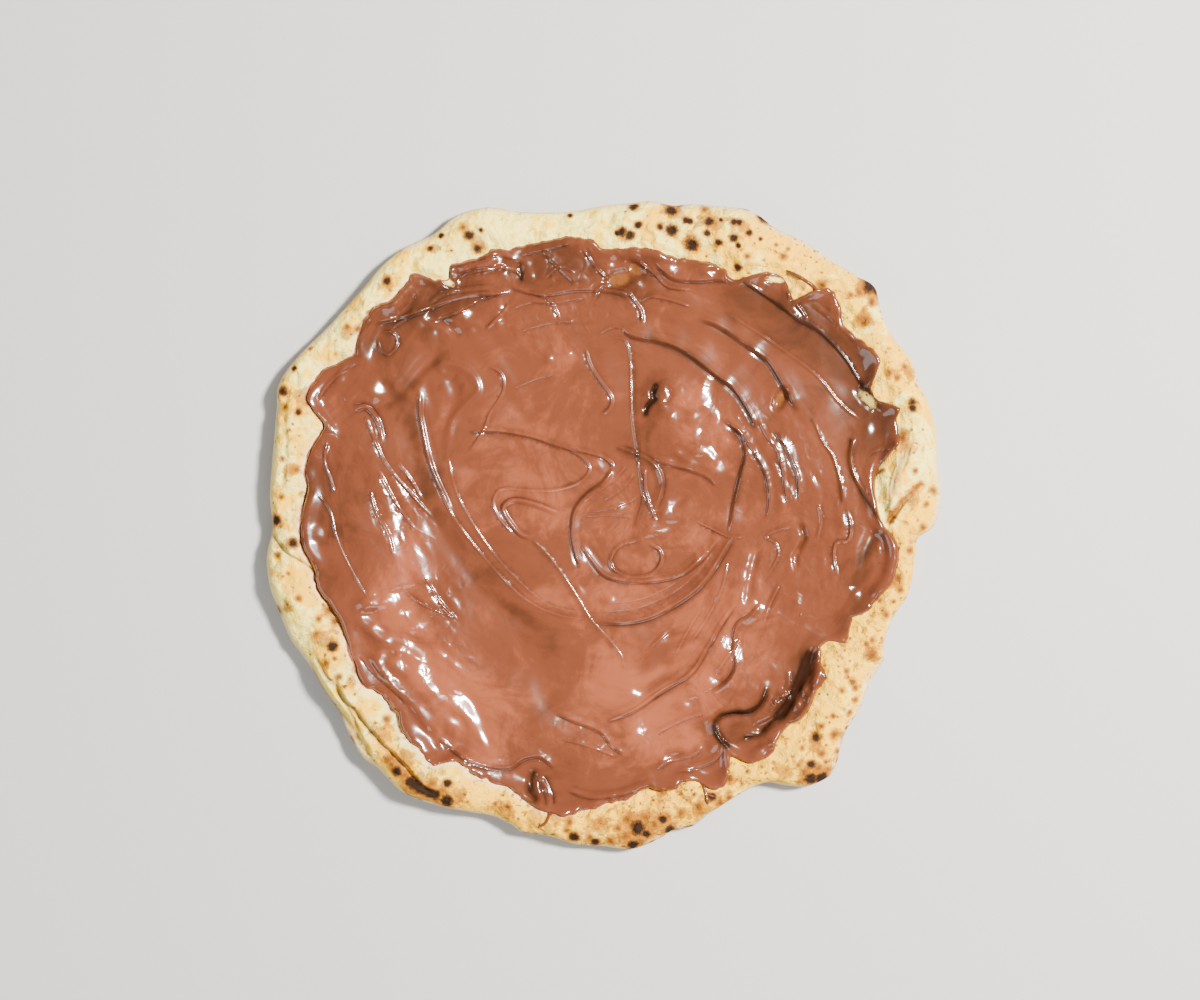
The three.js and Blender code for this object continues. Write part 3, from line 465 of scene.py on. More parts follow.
# Places where the spread tips so far to the right that it catches the light: x, y, half length and
# half width in picture pixels, and the way they run in degrees.
FACETS = (
    (378, 494, 18, 4, -62), (392, 506, 24, 6, -62), (404, 494, 20, 4, -58), (396, 541, 17, 10, -62),
    (416, 552, 9, 7, -50), (391, 598, 21, 7, 14), (365, 618, 9, 7, 14), (377, 630, 11, 6, -30),
    (392, 638, 15, 9, -25), (410, 648, 14, 9, -20), (402, 664, 9, 8, 30), (424, 673, 10, 10, -40),
    (443, 655, 9, 4, -38), (456, 664, 8, 4, -38), (461, 702, 15, 11, -42), (474, 718, 13, 8, -58),
    (455, 722, 8, 6, -20), (484, 740, 9, 5, -60), (386, 672, 16, 4, -45), (402, 690, 16, 4, -45),
    (432, 592, 21, 6, -56), (446, 608, 10, 4, -50), (440, 700, 8, 5, 20), (705, 399, 15, 9, 65),
    (697, 416, 7, 6, 30), (716, 412, 8, 6, -40), (708, 452, 15, 9, 25), (722, 468, 10, 6, 30),
    (694, 462, 9, 5, 10), (727, 441, 7, 5, 60), (682, 452, 7, 4, -20), (379, 389, 10, 9, -30),
    (344, 373, 12, 4, 50), (424, 396, 13, 7, -80), (428, 438, 20, 4, -78), (396, 334, 6, 5, 0),
    (465, 306, 9, 6, 20), (478, 300, 8, 5, -20), (500, 310, 12, 4, 65), (499, 257, 7, 4, 10),
    (530, 262, 6, 4, 40), (548, 276, 6, 5, 0), (612, 262, 7, 4, 20), (640, 282, 7, 4, -30),
    (675, 268, 8, 4, 10), (720, 262, 13, 4, 10), (712, 272, 8, 4, -10), (772, 440, 8, 4, 60),
    (792, 446, 7, 6, 60), (872, 428, 6, 6, 30), (815, 480, 7, 5, -60), (795, 492, 8, 4, -70),
    (779, 470, 9, 3, -65), (784, 500, 8, 3, -75), (846, 522, 6, 3, -80), (726, 642, 10, 7, 30),
    (714, 682, 8, 6, 30), (687, 705, 8, 4, 10), (641, 732, 9, 4, 20), (637, 694, 10, 4, 0),
    (665, 639, 13, 4, 42), (662, 529, 13, 5, 10), (671, 507, 14, 5, 45), (655, 520, 7, 3, 60),
    (622, 505, 8, 3, 20), (601, 462, 8, 6, -60), (765, 750, 9, 5, 30), (322, 532, 6, 6, 0),
    (330, 455, 10, 4, -80), (860, 595, 9, 5, 50), (540, 790, 7, 5, -60), (447, 748, 9, 5, -40),
    (582, 590, 8, 4, -50), (700, 560, 8, 3, 50), (826, 560, 6, 3, 80), (800, 600, 6, 3, 60),
    (742, 655, 8, 3, 60), (668, 760, 8, 3, 15), (600, 748, 9, 3, 10), (634, 301, 7, 4, -50),
    (501, 321, 5, 3, 60), (801, 704, 6, 5, 50), (807, 690, 5, 4, 60), (768, 683, 4, 4, 0),
    (881, 547, 9, 3, -88), (765, 611, 6, 3, 60), (420, 625, 12, 4, 20), (372, 600, 9, 5, 30),
    (405, 612, 11, 4, 14), (385, 650, 8, 5, 40), (435, 690, 9, 5, -40), (420, 655, 9, 6, 0),
    (466, 314, 8, 5, 15), (421, 325, 6, 5, -30), (449, 329, 4, 4, 0), (473, 329, 4, 3, 0),
    (508, 299, 8, 2.5, 65), (708, 385, 7, 5, 60), (692, 400, 6, 5, 30), (700, 432, 8, 5, 50),
    (716, 456, 8, 5, -20), (672, 462, 8, 4, 0),
)
SLOPE_STEP = 2.5 * MM              # over what distance the slope under a facet is taken

# Small round bubbles in the spread: x, y and radius in picture pixels, rise in millimetres.
BUBBLES = (
    (548, 358, 5, 0.7), (568, 353, 4, 0.7), (428, 333, 9, 0.8), (452, 318, 8, 0.7), (470, 306, 7, 0.6),
    (782, 694, 5, 1.1), (776, 702, 4, 0.9), (788, 701, 4, 0.8), (712, 745, 9, 0.8), (700, 750, 7, 0.6),
    (662, 405, 6, 0.7), (671, 417, 5, 0.6), (441, 371, 4, 0.4), (382, 515, 6, -0.7), (610, 600, 5, 0.4),
    (500, 268, 6, 0.9), (528, 275, 8, 0.9), (552, 276, 6, 0.8), (596, 270, 7, 0.8), (640, 268, 7, 0.9),
)

# Tones of the spread: how much lighter or, below 0, darker it is, then half width and path in picture
# pixels. Tones below the pit tone also lose their gloss. Many tones are painted light: the darker strokes
# beside ridges and in hollows, pits and the curl are painted shade, and most lighter ones painted sheen.
SPREAD_TONES = {
    "upper_right_band": (-1.0, 26, [(742, 296), (800, 332), (845, 375), (872, 425)]),
    "upper_right_edge": (-0.6, 22, [(800, 300), (850, 350), (880, 385)]),
    "top_left_lobe": (-0.7, 34, [(365, 345), (400, 325), (425, 310)]),
    "top": (-0.6, 30, [(450, 285), (540, 268), (640, 275)]),
    "left": (-0.4, 40, [(340, 440), (350, 520)]),
    # Painted shade in pits.
    "middle_pit": (-2.0, 3, [(656, 385), (653, 393), (655, 398), (648, 405), (646, 413)]),
    "middle_pit_round": (-0.5, 11, [(660, 384), (658, 402)]),
    "right_pit": (-1.1, 3, [(802, 525), (806, 536), (801, 548)]),
    "top_pit": (-1.2, 2.5, [(520, 262), (521, 278)]),
    "drip_pit": (-1.4, 4, [(533, 774), (530, 790), (536, 800)]),
    # Painted shade in hollows and valleys.
    "scoop_valley": (-0.45, 20, [(398, 385), (415, 450), (442, 525), (490, 590), (550, 640)]),
    "lens": (-0.35, 20, [(450, 370), (462, 400)]),
    "leaf": (-0.4, 20, [(655, 395), (640, 440), (655, 490)]),
    "soft_valley": (-0.35, 16, [(545, 655), (543, 690), (552, 722)]),
    # Lighter areas: painted sheen where the spread catches the light.
    "lower_middle": (0.8, 46, [(610, 680), (680, 700), (725, 640)]),
    "lower_fold": (0.35, 34, [(590, 750), (690, 740)]),
    "middle": (0.4, 60, [(520, 420), (560, 500), (640, 530)]),
    "upper_middle_painted_sheen": (0.6, 28, [(690, 400), (715, 450)]),
    "left_painted_sheen": (0.5, 34, [(395, 530), (405, 600), (440, 660)]),
    "left_cluster_painted_sheen": (0.5, 26, [(385, 600), (405, 650), (470, 705)]),
    "lower_left_painted_sheen": (0.7, 32, [(478, 690), (490, 748)]),
    "bowl_painted_sheen": (0.45, 28, [(545, 602), (640, 605)]),
    # Broad darker areas.
    "right_edge": (-0.5, 20, [(885, 540), (880, 580), (850, 620)]),
    "right": (-0.25, 40, [(800, 480), (820, 560), (800, 620)]),
    # Painted shade in the curl's channel, along its edge and under it.
    "curl": (-0.7, 18, [(745, 735), (765, 722), (795, 705), (812, 665)]),
    "curl_channel": (-1.7, 7, [(783, 714), (791, 700), (800, 682), (811, 656)]),
    "curl_channel_tail": (-1.3, 3, [(746, 739), (760, 736), (771, 725), (783, 713)]),
    "curl_edge_shade": (-2.0, 3.2, [(728, 747), (718, 738), (714, 725), (721, 716), (734, 713), (749, 712),
        (758, 707), (763, 700), (767, 690)]),
    "under_curl": (-0.5, 18, [(722, 735), (745, 700)]),
    # Broad darker areas.
    "left_edge": (-0.5, 18, [(310, 480), (312, 540), (325, 590)]),
    "bottom": (-0.2, 24, [(540, 775), (640, 790)]),
    # Painted shade along the shaded sides of ridges and threads.
    "long_scoop_shade": (-1.0, 4, [(648, 336), (668, 345), (692, 357), (722, 381), (742, 402), (755, 426)]),
    "outer_scoop_shade": (-0.8, 3, [(725, 330), (762, 356), (788, 394), (796, 408)]),
    "spiral_wall_shade": (-0.8, 4, [(734, 520), (740, 485), (744, 450), (736, 430)]),
    "serpent_shade": (-0.8, 3, [(600, 486), (580, 500), (572, 520), (571, 545), (577, 565)]),
    "serpent_top_shade": (-0.6, 2.5, [(472, 432), (530, 438), (575, 452), (590, 466)]),
    "leaf_shade": (-0.7, 3, [(618, 449), (640, 456), (656, 468), (662, 485)]),
    "plumb_shade": (-0.9, 2.5, [(637, 455), (641, 482), (642, 502), (635, 525)]),
    "right_wall_shade": (-1.3, 2.6, [(851, 440), (849, 462), (857, 484), (872, 508), (880, 522)]),
    "right_wave_1_shade": (-0.7, 3, [(728, 422), (748, 443), (764, 472), (768, 500)]),
    "right_wave_3_shade": (-0.7, 3, [(778, 434), (791, 456), (798, 480)]),
    "right_wave_4_shade": (-1.1, 2, [(812, 420), (822, 440), (832, 456), (839, 480), (842, 500)]),
    # Painted shade in the lobe's valley, and a painted highlight on the lobe.
    "lobe_valley": (-1.0, 6, [(878, 536), (868, 550), (860, 566), (853, 584)]),
    "lobe_painted_highlight": (0.4, 8, [(886, 545), (889, 565), (884, 590)]),
    # Painted shade along the shaded sides of ridges and threads.
    "scoop_shade": (-0.5, 6, [(411, 420), (424, 485), (448, 540), (487, 592), (530, 620)]),
    "outer_bowl_shade": (-0.5, 4, [(600, 626), (650, 620), (690, 598), (718, 565), (730, 540)]),
    "lower_fold_shade": (-0.6, 3, [(757, 612), (738, 632), (737, 662), (722, 690)]),
    "long_line_shade": (-0.6, 3, [(720, 628), (704, 655), (675, 686), (640, 710), (610, 722)]),
    "eye_shade": (-0.5, 2.5, [(652, 547), (660, 555), (658, 568)]),
    "eye_shade_2": (-0.4, 2.5, [(612, 560), (613, 570), (622, 576)]),
    "leaf_drop_shade": (-0.5, 2, [(587, 352), (598, 376), (610, 396)]),
    "upper_left_shade": (-0.45, 3, [(380, 326), (430, 312), (480, 298)]),
    "upper_ridge_shade": (-0.45, 3, [(440, 274), (480, 272), (512, 272)]),
    "lower_left_fold_shade": (-0.6, 3, [(455, 754), (485, 769), (520, 764)]),
    "left_thread_shade": (-0.6, 2.5, [(316, 492), (328, 508), (337, 536)]),
    "left_lump_shade": (-0.45, 5, [(372, 412), (392, 402), (412, 384), (436, 360)]),
    "rim_scoop_shade": (-1.15, 2.2, [(745, 283), (772, 300), (798, 319), (819, 331), (845, 357), (862, 384),
        (874, 397)]),
    "plumb_shade_2": (-0.5, 2, [(634, 350), (635, 380), (636, 415), (639, 452)]),
    "beaded_shade": (-0.5, 2, [(532, 542), (560, 575), (590, 622), (612, 648)]),
}
PIT_TONE = -1.05                   # strokes darker than this are pits, without gloss

# Thin strands of the spread that lie on the crust: radius in millimetres, path in picture pixels.
STRANDS = {
    "right_top": (0.9, [(786, 270), (800, 278), (812, 285), (820, 293)]),
    "bottom_drip": (0.8, [(703, 783), (706, 794), (708, 805)]),
    "bottom_drip_branch": (0.6, [(703, 791), (709, 795), (715, 797)]),
    "bottom_string": (0.7, [(546, 800), (549, 810), (548, 818), (544, 824), (538, 827)]),
}

# Lumps: height and spacing in millimetres, and a seed.
CRUST_LUMPS = ((2.2, 26, 3), (1.3, 12, 8))
CRUST_FINE_LUMPS = ((1.2, 7, 12), (0.8, 3.2, 21), (0.28, 1.4, 34))
SPREAD_LUMPS = ((0.9, 30, 5), (0.5, 13, 9))
SPREAD_FINE_LUMPS = ((0.1, 6.5, 15),)
SPREAD_EDGE_LUMPS = ((0.9, 5, 41), (0.6, 2.2, 43))
STREAK_LUMPS = ((0.2, 3.4, 15), (0.1, 1.7, 27))
STREAK_STRETCH = 4.5               # how many times longer than wide the streaks are
LINES_REACH = 8 * MM               # how far from a mark fine lines run along it
LINES_CLEARANCE = 1.6 * MM         # and how far they stop before the next mark's lines
LINED_MARKS = (
    "long_scoop", "outer_scoop", "rim_scoop", "big_scoop", "big_scoop_low", "serpent_belly", "inner_bowl",
    "outer_bowl", "lower_fold", "long_line", "right_wave_1", "right_wave_3", "lower_left_fold",
    "curl_ridge", "upper_left_wave", "right_wall",
)

# Where the spread is restless: x, y, half width and half height in picture pixels, and the way
# its streaks run, in degrees.
RESTLESS_PLACES = (
    (395, 510, 38, 52, -62), (345, 430, 36, 44, -40), (395, 606, 34, 22, 12), (440, 600, 26, 34, -58),
    (430, 660, 44, 52, -38), (420, 290, 44, 34, 30), (480, 290, 50, 34, -10), (590, 265, 80, 26, -40),
    (720, 272, 60, 18, 0), (665, 400, 26, 30, 60), (700, 425, 36, 44, 50), (770, 455, 50, 56, -62),
    (820, 520, 40, 60, -85), (790, 590, 60, 60, 62), (740, 680, 60, 60, 50), (600, 742, 100, 24, 8),
    (655, 515, 34, 16, 40), (662, 542, 30, 12, 12), (450, 770, 60, 20, 20), (545, 318, 64, 26, -8),
    (610, 300, 50, 30, 10),
)
RESTLESS_REACH = 1.5               # how far out they fade, in half widths


# ---- Curves and fields ----

def closed_curve(points):
    """A smooth closed curve through (degrees, value) points, as a function of degrees."""
    degrees = np.array([p[0] for p in points], float)
    values = np.array([p[1] for p in points], float)
    degrees = np.concatenate([degrees[-2:] - 360, degrees, degrees[:2] + 360])
    values = np.concatenate([values[-2:], values, values[:2]])
    slopes = np.gradient(values, degrees)
    slopes[1:-1] = (values[2:] - values[:-2]) / (degrees[2:] - degrees[:-2])

    def at(angle):
        angle = np.mod(angle, 360)
        i = np.clip(np.searchsorted(degrees, angle, side="right") - 1, 0, len(degrees) - 2)
        span = degrees[i + 1] - degrees[i]
        t = (angle - degrees[i]) / span
        return (values[i] * (1 + 2 * t) * (1 - t) ** 2 + values[i + 1] * t * t * (3 - 2 * t)
                + slopes[i] * span * t * (1 - t) ** 2 - slopes[i + 1] * span * t * t * (1 - t))

    return at


def smooth(t):
    t = np.clip(t, 0, 1)
    return t * t * (3 - 2 * t)


def from_picture(x, y):
    """Metres from the reading centre."""
    return (x - READING_CENTRE[0]) * METRES_PER_PIXEL, (READING_CENTRE[1] - y) * METRES_PER_PIXEL


def across(radius, degrees):
    angle = np.radians(degrees)
    return radius * np.cos(angle), radius * np.sin(angle)


def polar(x, y):
    return np.hypot(x, y), np.degrees(np.arctan2(y, x))


def places_of(items):
    """Metres from the reading centre, for items that start with a place in the picture."""
    return from_picture(*np.array([item[:2] for item in items], float).T)


def apart(x, y, px, py, radius):
    """Distance from a place in the picture, in radii that are given in pixels."""
    sx, sy = from_picture(px, py)
    return np.hypot(x - sx, y - sy) / (radius * METRES_PER_PIXEL)


def grid_value(i, j, seed):
    """A scattered value from 0 to 1 that is always the same for a grid point and seed."""
    s = np.sin(i * 127.1 + j * 311.7 + seed * 74.7) * 43758.5453
    return s - np.floor(s)


def lump(x, y, spacing, seed):
    """Soft lumps from -1 to 1 with the given spacing."""
    i, j = np.floor(x / spacing), np.floor(y / spacing)
    u, v = smooth(x / spacing - i), smooth(y / spacing - j)
    low = grid_value(i, j, seed) * (1 - u) + grid_value(i + 1, j, seed) * u
    high = grid_value(i, j + 1, seed) * (1 - u) + grid_value(i + 1, j + 1, seed) * u
    return 2 * (low * (1 - v) + high * v) - 1


def lumps(x, y, layers):
    return sum(rise * MM * lump(x, y, spacing * MM, seed) for rise, spacing, seed in layers)


def smooth_path(points):
    """Points in metres along a smooth curve through points of the picture."""
    knots = np.array([from_picture(*p) for p in points])
    knots = np.vstack([2 * knots[0] - knots[1], knots, 2 * knots[-1] - knots[-2]])
    t = np.linspace(0, 1, STEPS_PER_SPAN, endpoint=False)[:, None]
    spans = []
    for a, b, c, d in zip(knots, knots[1:], knots[2:], knots[3:]):
        spans.append(0.5 * (2 * b + (c - a) * t + (2 * a - 5 * b + 4 * c - d) * t ** 2
                            + (3 * b - a - 3 * c + d) * t ** 3))
    return np.vstack(spans + [knots[-2:-1]])


def to_the_left(line):
    """Unit vectors that point to the left of a line, seen along it."""
    direction = np.gradient(line, axis=0)
    direction /= np.linalg.norm(direction, axis=1)[:, None]
    return np.column_stack([-direction[:, 1], direction[:, 0]])


def turned(x, y, px, py, degrees):
    """Metres along and across a direction, from a place in the picture."""
    sx, sy = from_picture(px, py)
    c, s = math.cos(math.radians(degrees)), math.sin(math.radians(degrees))
    return (x - sx) * c + (y - sy) * s, (y - sy) * c - (x - sx) * s


def distance_to_path(path, x, y):
    """Distance, side (positive on the left) and share of the way along, for each place."""
    nearest = np.full(x.shape, np.inf)
    side = np.zeros(x.shape)
    along = np.zeros(x.shape)
    for i, (start, end) in enumerate(zip(path, path[1:])):
        dx, dy = end - start
        px, py = x - start[0], y - start[1]
        t = np.clip((px * dx + py * dy) / (dx * dx + dy * dy), 0, 1)
        distance = np.hypot(px - t * dx, py - t * dy)
        closer = distance < nearest
        nearest = np.where(closer, distance, nearest)
        side = np.where(closer, dx * py - dy * px, side)
        along = np.where(closer, (i + t) / (len(path) - 1), along)
    return nearest, side, along


def near_path(points, width, x, y):
    """How near each place is to a path, from 1 on it to 0 far away, and its share of the way along."""
    distance, _, along = distance_to_path(smooth_path(points), x, y)
    return np.exp(-(distance / width) ** 2), along


def taper(along, at_ends=0):
    return smooth(np.minimum(along, 1 - along) / END_TAPER + at_ends)


def restless_relief(x, y):
    """How restless the spread is at each place, and the height of its streaks there."""
    most, total, height = np.zeros(x.shape), np.ones(x.shape), np.zeros(x.shape)
    for px, py, half_width, half_height, way in RESTLESS_PLACES:
        sx, sy = from_picture(px, py)
        reach = np.hypot((x - sx) / half_width, (y - sy) / half_height) / METRES_PER_PIXEL
        here = smooth(RESTLESS_REACH - reach)
        along, across_way = turned(x, y, px, py, way)
        height += here * lumps(along / STREAK_STRETCH, across_way, STREAK_LUMPS)
        most = np.maximum(most, here)
        total += here
    return most, height * 2 / total


def crease_field(x, y):
    """How deep in a crust crease each place is, from 0 to 1, and the height that it takes away."""
    most, height = np.zeros(x.shape), np.zeros(x.shape)
    for width, points in CRUST_CREASES.values():
        near, along = near_path(points, width * MM, x, y)
        inside = taper(along) * near
        most = np.maximum(most, inside)
        height = np.maximum(height, min(CREASE_DEPTH * width * MM, DEEPEST_CREASE) * inside)
    return most, height


def spread_tone(x, y):
    """The spread's tone, with painted shade and sheen, and how deep in a pit each place is, from 0 to 1."""
    total, pit = np.zeros(x.shape), np.zeros(x.shape)
    for tone, width, points in SPREAD_TONES.values():
        near, _ = near_path(points, width * METRES_PER_PIXEL, x, y)
        total += tone * near
        if tone < PIT_TONE:
            pit = np.maximum(pit, near)
    return total, pit


def bareness(x, y):
    """How far inside a bare patch each place is, 1 in its middle and 0 at its edge, and its paleness."""
    best, pale = np.full(x.shape, FAR_OUTSIDE), np.zeros(x.shape)
    for px, py, half_length, half_width, way, paleness in BARE_PATCHES:
        along, across_way = turned(x, y, px, py, way)
        inside = 1 - np.hypot(along / half_length, across_way / half_width) / METRES_PER_PIXEL
        pale = np.where(inside > best, paleness, pale)
        best = np.maximum(best, inside)
    return best, pale


def is_crisp(rise, left, right):
    """Whether a mark has a sharp crest and a groove at its foot."""
    return rise >= 0 and min(left, right) <= WIDEST_CREASE


def mark_relief(marks, x, y):
    """Height that the marks add at each place, and how deep in a mark's groove it is, for painted shade."""
    height, groove = np.zeros(x.shape), np.zeros(x.shape)
    for rise, left, right, points in marks.values():
        path = smooth_path(points)
        reach = GROOVE_REACH * max(left, right) * MM
        low, high = path.min(axis=0) - reach, path.max(axis=0) + reach
        near = (x > low[0]) & (x < high[0]) & (y > low[1]) & (y < high[1])
        distance, side, along = distance_to_path(path, x[near], y[near])
        width = np.where(side > 0, left, right)
        share = distance / (width * MM)
        fade = taper(along, END_HEIGHT)
        if not is_crisp(rise, left, right):
            height[near] += rise * MM * fade * smooth(1 - share)
            continue
        swell, spacing, seed = MARK_SWELL
        fade = fade * (1 - swell * (0.5 + 0.5 * lump(x[near], y[near], spacing * MM, seed)))
        foot = np.exp(-((share - GROOVE_PLACE) / GROOVE_WIDTH) ** 2) * (min(left, right) / width) ** 2
        crest = np.clip(1 - share, 0, 1) ** CREST_POWER
        height[near] += rise * MM * fade * (crest - GROOVE_DEPTH * foot)
        groove[near] = np.maximum(groove[near], fade * foot * min(1, rise / GROOVE_FULL_RISE))
    return height, groove


def lines_along_marks(marks, x, y):
    """Signed distance to the nearest mark in millimetres, and how clearly fine lines run along it."""
    nearest, second = np.full(x.shape, LINES_REACH), np.full(x.shape, LINES_REACH)
    signed, ends = np.zeros(x.shape), np.zeros(x.shape)
    for name in LINED_MARKS:
        distance, side, along = distance_to_path(smooth_path(marks[name][3]), x, y)
        closer = distance < nearest
        second = np.where(closer, nearest, np.minimum(second, distance))
        nearest = np.where(closer, distance, nearest)
        signed = np.where(closer, np.sign(side) * distance, signed)
        ends = np.where(closer, taper(along), ends)
    clear = ends * smooth(1 - nearest / LINES_REACH) * smooth((second - nearest) / LINES_CLEARANCE)
    return signed / MM, clear


def mark_points(marks):
    """Mesh points along each crisp mark: on its crest, then on lines beside it."""
    lines = [[] for _ in range(1 + len(NARROW_SHARES))]
    for rise, left, right, points in marks.values():
        if not is_crisp(rise, left, right):
            continue
        path = smooth_path(points)
        length = np.concatenate([[0], np.cumsum(np.hypot(*np.diff(path, axis=0).T))])
        stations = np.linspace(0, length[-1], max(FEWEST_MARK_STEPS, round(length[-1] / MARK_STEP)))
        line = np.column_stack([np.interp(stations, length, path[:, i]) for i in (0, 1)])
        sideways = to_the_left(line)
        lines[0].append(line)
        for side, width in ((1, left), (-1, right)):
            narrow = [share * width for share in NARROW_SHARES]
            for number, place in enumerate(narrow if width <= WIDEST_CREASE else WIDE_OFFSETS, 1):
                lines[number].append(line + side * sideways * place * MM)
    return np.vstack([part for parts in lines for part in parts])


# ---- Form ----

bread_edge = closed_curve(BREAD_EDGE)
spread_edge = closed_curve(SPREAD_EDGE)
rim_height = closed_curve(RIM_HEIGHT)
dish_rise = closed_curve(DISH_RISE)
bake_at = closed_curve(BAKE)
spread_rounding = closed_curve(SPREAD_ROUNDING)
raggedness = closed_curve(RAGGEDNESS)
stain_and_shadow_reach = closed_curve(STAIN_AND_SHADOW_REACH)
hem_reach = closed_curve(HEM_REACH)


def rim_at(degrees):
    """Radii and heights of the rim at each angle."""
    edge = bread_edge(degrees) * METRES_PER_PIXEL
    spread = spread_edge(degrees) * METRES_PER_PIXEL
    height = rim_height(degrees) * MM
    return {
        "edge": edge,
        "spread": spread,
        "border": spread + raggedness(degrees) * lumps(*across(spread, degrees), SPREAD_EDGE_LUMPS),
        "rounding": spread_rounding(degrees) * MM,
        "crest": spread + RIM_CREST_SHARE * (edge - spread),
        "foot": spread - RIM_FOOT_UNDER_SPREAD,
        "height": height,
        "belly": RIM_BELLY_SHARE * height,
    }


def swell_height(x, y):
    return sum(rise * MM * np.exp(-apart(x, y, px, py, radius) ** 2) for px, py, radius, rise in SWELLS)


def dough_top(radius, degrees, fine):
    """Height of the dough's top surface. fine adds the crust's small blisters."""
    rim = rim_at(degrees)
    x, y = across(radius, degrees)
    dish = BASE_THICKNESS + swell_height(x, y) + dish_rise(degrees) * MM * smooth(
        (radius / rim["spread"] - DISH_START) / (1 - DISH_START))
    climb = smooth((radius - rim["foot"]) / (rim["crest"] - rim["foot"]))
    crust = smooth((radius - rim["foot"]) / (rim["spread"] - rim["foot"]))
    relief = lumps(x, y, CRUST_LUMPS) + mark_relief(CRUST_MARKS, x, y)[0]
    if fine:
        uncovered = smooth((radius - rim["spread"] + FINE_CRUST_START) / FINE_CRUST_START)
        relief = relief + uncovered * (lumps(x, y, CRUST_FINE_LUMPS) - crease_field(x, y)[1])
    outward = np.clip((radius - rim["crest"]) / (rim["edge"] - rim["crest"]), 0, 1)
    fall = np.sqrt(1 - outward ** 2)
    top = dish + (rim["height"] - dish) * climb + crust * relief
    return rim["belly"] + (top - rim["belly"]) * fall


def spread_thickness(radius, degrees):
    x, y = across(radius, degrees)
    full = (SPREAD_THICKNESS + lumps(x, y, SPREAD_LUMPS) + lumps(x, y, SPREAD_FINE_LUMPS)
            + restless_relief(x, y)[1] + facet_relief(x, y) + mark_relief(SPREAD_MARKS, x, y)[0])
    for px, py, size, rise in BUBBLES:
        full = full + rise * MM * np.clip(1 - apart(x, y, px, py, size) ** 2, 0, 1)
    full = full - BARE_DEPTH * smooth(bareness(x, y)[0] + BARE_SLOPE)
    rim = rim_at(degrees)
    inward = np.clip((rim["border"] - radius) / rim["rounding"], 0, 1)
    rounding = np.sqrt(1 - (1 - inward) ** 2)
    body = np.maximum(THINNEST_SPREAD, full)
    return SPREAD_EDGE_THICKNESS + (body - SPREAD_EDGE_THICKNESS) * rounding


def facet_ramps():
    """For each facet, the slopes to add so that it faces half way between the key light and the camera."""
    x, y = places_of(FACETS)

    def height(x, y):
        return (dough_top(*polar(x, y), False) + lumps(x, y, SPREAD_LUMPS)
                + mark_relief(SPREAD_MARKS, x, y)[0])

    here = np.column_stack([x - offset[0], y - offset[1], np.full(len(x), BASE_THICKNESS)])
    to_key, to_camera = np.array(KEY_PLACE) - here, np.array((0, 0, CAMERA_HEIGHT)) - here
    facing = sum(way / np.linalg.norm(way, axis=1)[:, None] for way in (to_key, to_camera))
    step = SLOPE_STEP
    along_x = (height(x + step, y) - height(x - step, y)) / (2 * step)
    along_y = (height(x, y + step) - height(x, y - step)) / (2 * step)
    return np.column_stack([-facing[:, 0] / facing[:, 2] - along_x, -facing[:, 1] / facing[:, 2] - along_y])


def facet_relief(x, y):
    """Soft ramps that catch the light."""
    total = np.zeros(x.shape)
    for (px, py, half_length, half_width, way), (slope_x, slope_y) in zip(FACETS, ramps):
        sx, sy = from_picture(px, py)
        along, across_way = turned(x, y, px, py, way)
        along = along / (half_length * METRES_PER_PIXEL)
        across_way = across_way / (half_width * METRES_PER_PIXEL)
        fade = np.exp(-FACET_FALL * (along ** 2 + across_way ** 4))
        total += (slope_x * (x - sx) + slope_y * (y - sy)) * fade
    return total


# ---- Closed meshes from rings ----

def ring(count, half_step, place):
    """Angles and points of one ring: place(degrees) gives the radii and heights."""
    degrees = 360 * (np.arange(count) + (0.5 if half_step else 0)) / count
    radius, z = place(degrees)
    return degrees, np.column_stack([*across(radius, degrees), z])


def hidden_rings(shares, height):
    """Coarse rings at shares of the spread's radius, with their numbers of points."""
    def place(degrees):
        radius = share * rim_at(degrees)["spread"]
        return radius, height(radius, degrees)

    rings = []
    for share, count in shares:
        rings.append(ring(count, False, place))
    return rings


def middle(z):
    return np.zeros(1), np.array([[0, 0, z]])


def stitch(inner, outer, inner_start, outer_start):
    """Triangles between two rings, given by their angles and first vertex numbers."""
    i, j = np.arange(len(inner)), np.arange(len(outer))
    next_i, next_j = (i + 1) % len(inner), (j + 1) % len(outer)
    if len(inner) == 1:
        return [np.column_stack([np.full_like(j, inner_start), outer_start + j, outer_start + next_j])]
    if len(outer) == 1:
        return [np.column_stack([inner_start + i, np.full_like(i, outer_start), inner_start + next_i])]
    inner_middle = inner + 180 / len(inner)
    outer_middle = outer + 180 / len(outer)
    facing_outer = np.searchsorted(inner_middle, outer_middle, side="left") % len(inner)
    facing_inner = np.searchsorted(outer_middle, inner_middle, side="right") % len(outer)
    return [np.column_stack([inner_start + facing_outer, outer_start + j, outer_start + next_j]),
            np.column_stack([inner_start + i, outer_start + facing_inner, inner_start + next_i])]


def closed_surface(rings):
    """Points and triangles of a surface from rings that run from above, outwards and back below."""
    starts = np.cumsum([0] + [len(points) for _, points in rings])
    triangles = []
    for k, ((inner, _), (outer, _)) in enumerate(zip(rings, rings[1:])):
        triangles += stitch(inner, outer, starts[k], starts[k + 1])
    return np.vstack([points for _, points in rings]), np.vstack(triangles)


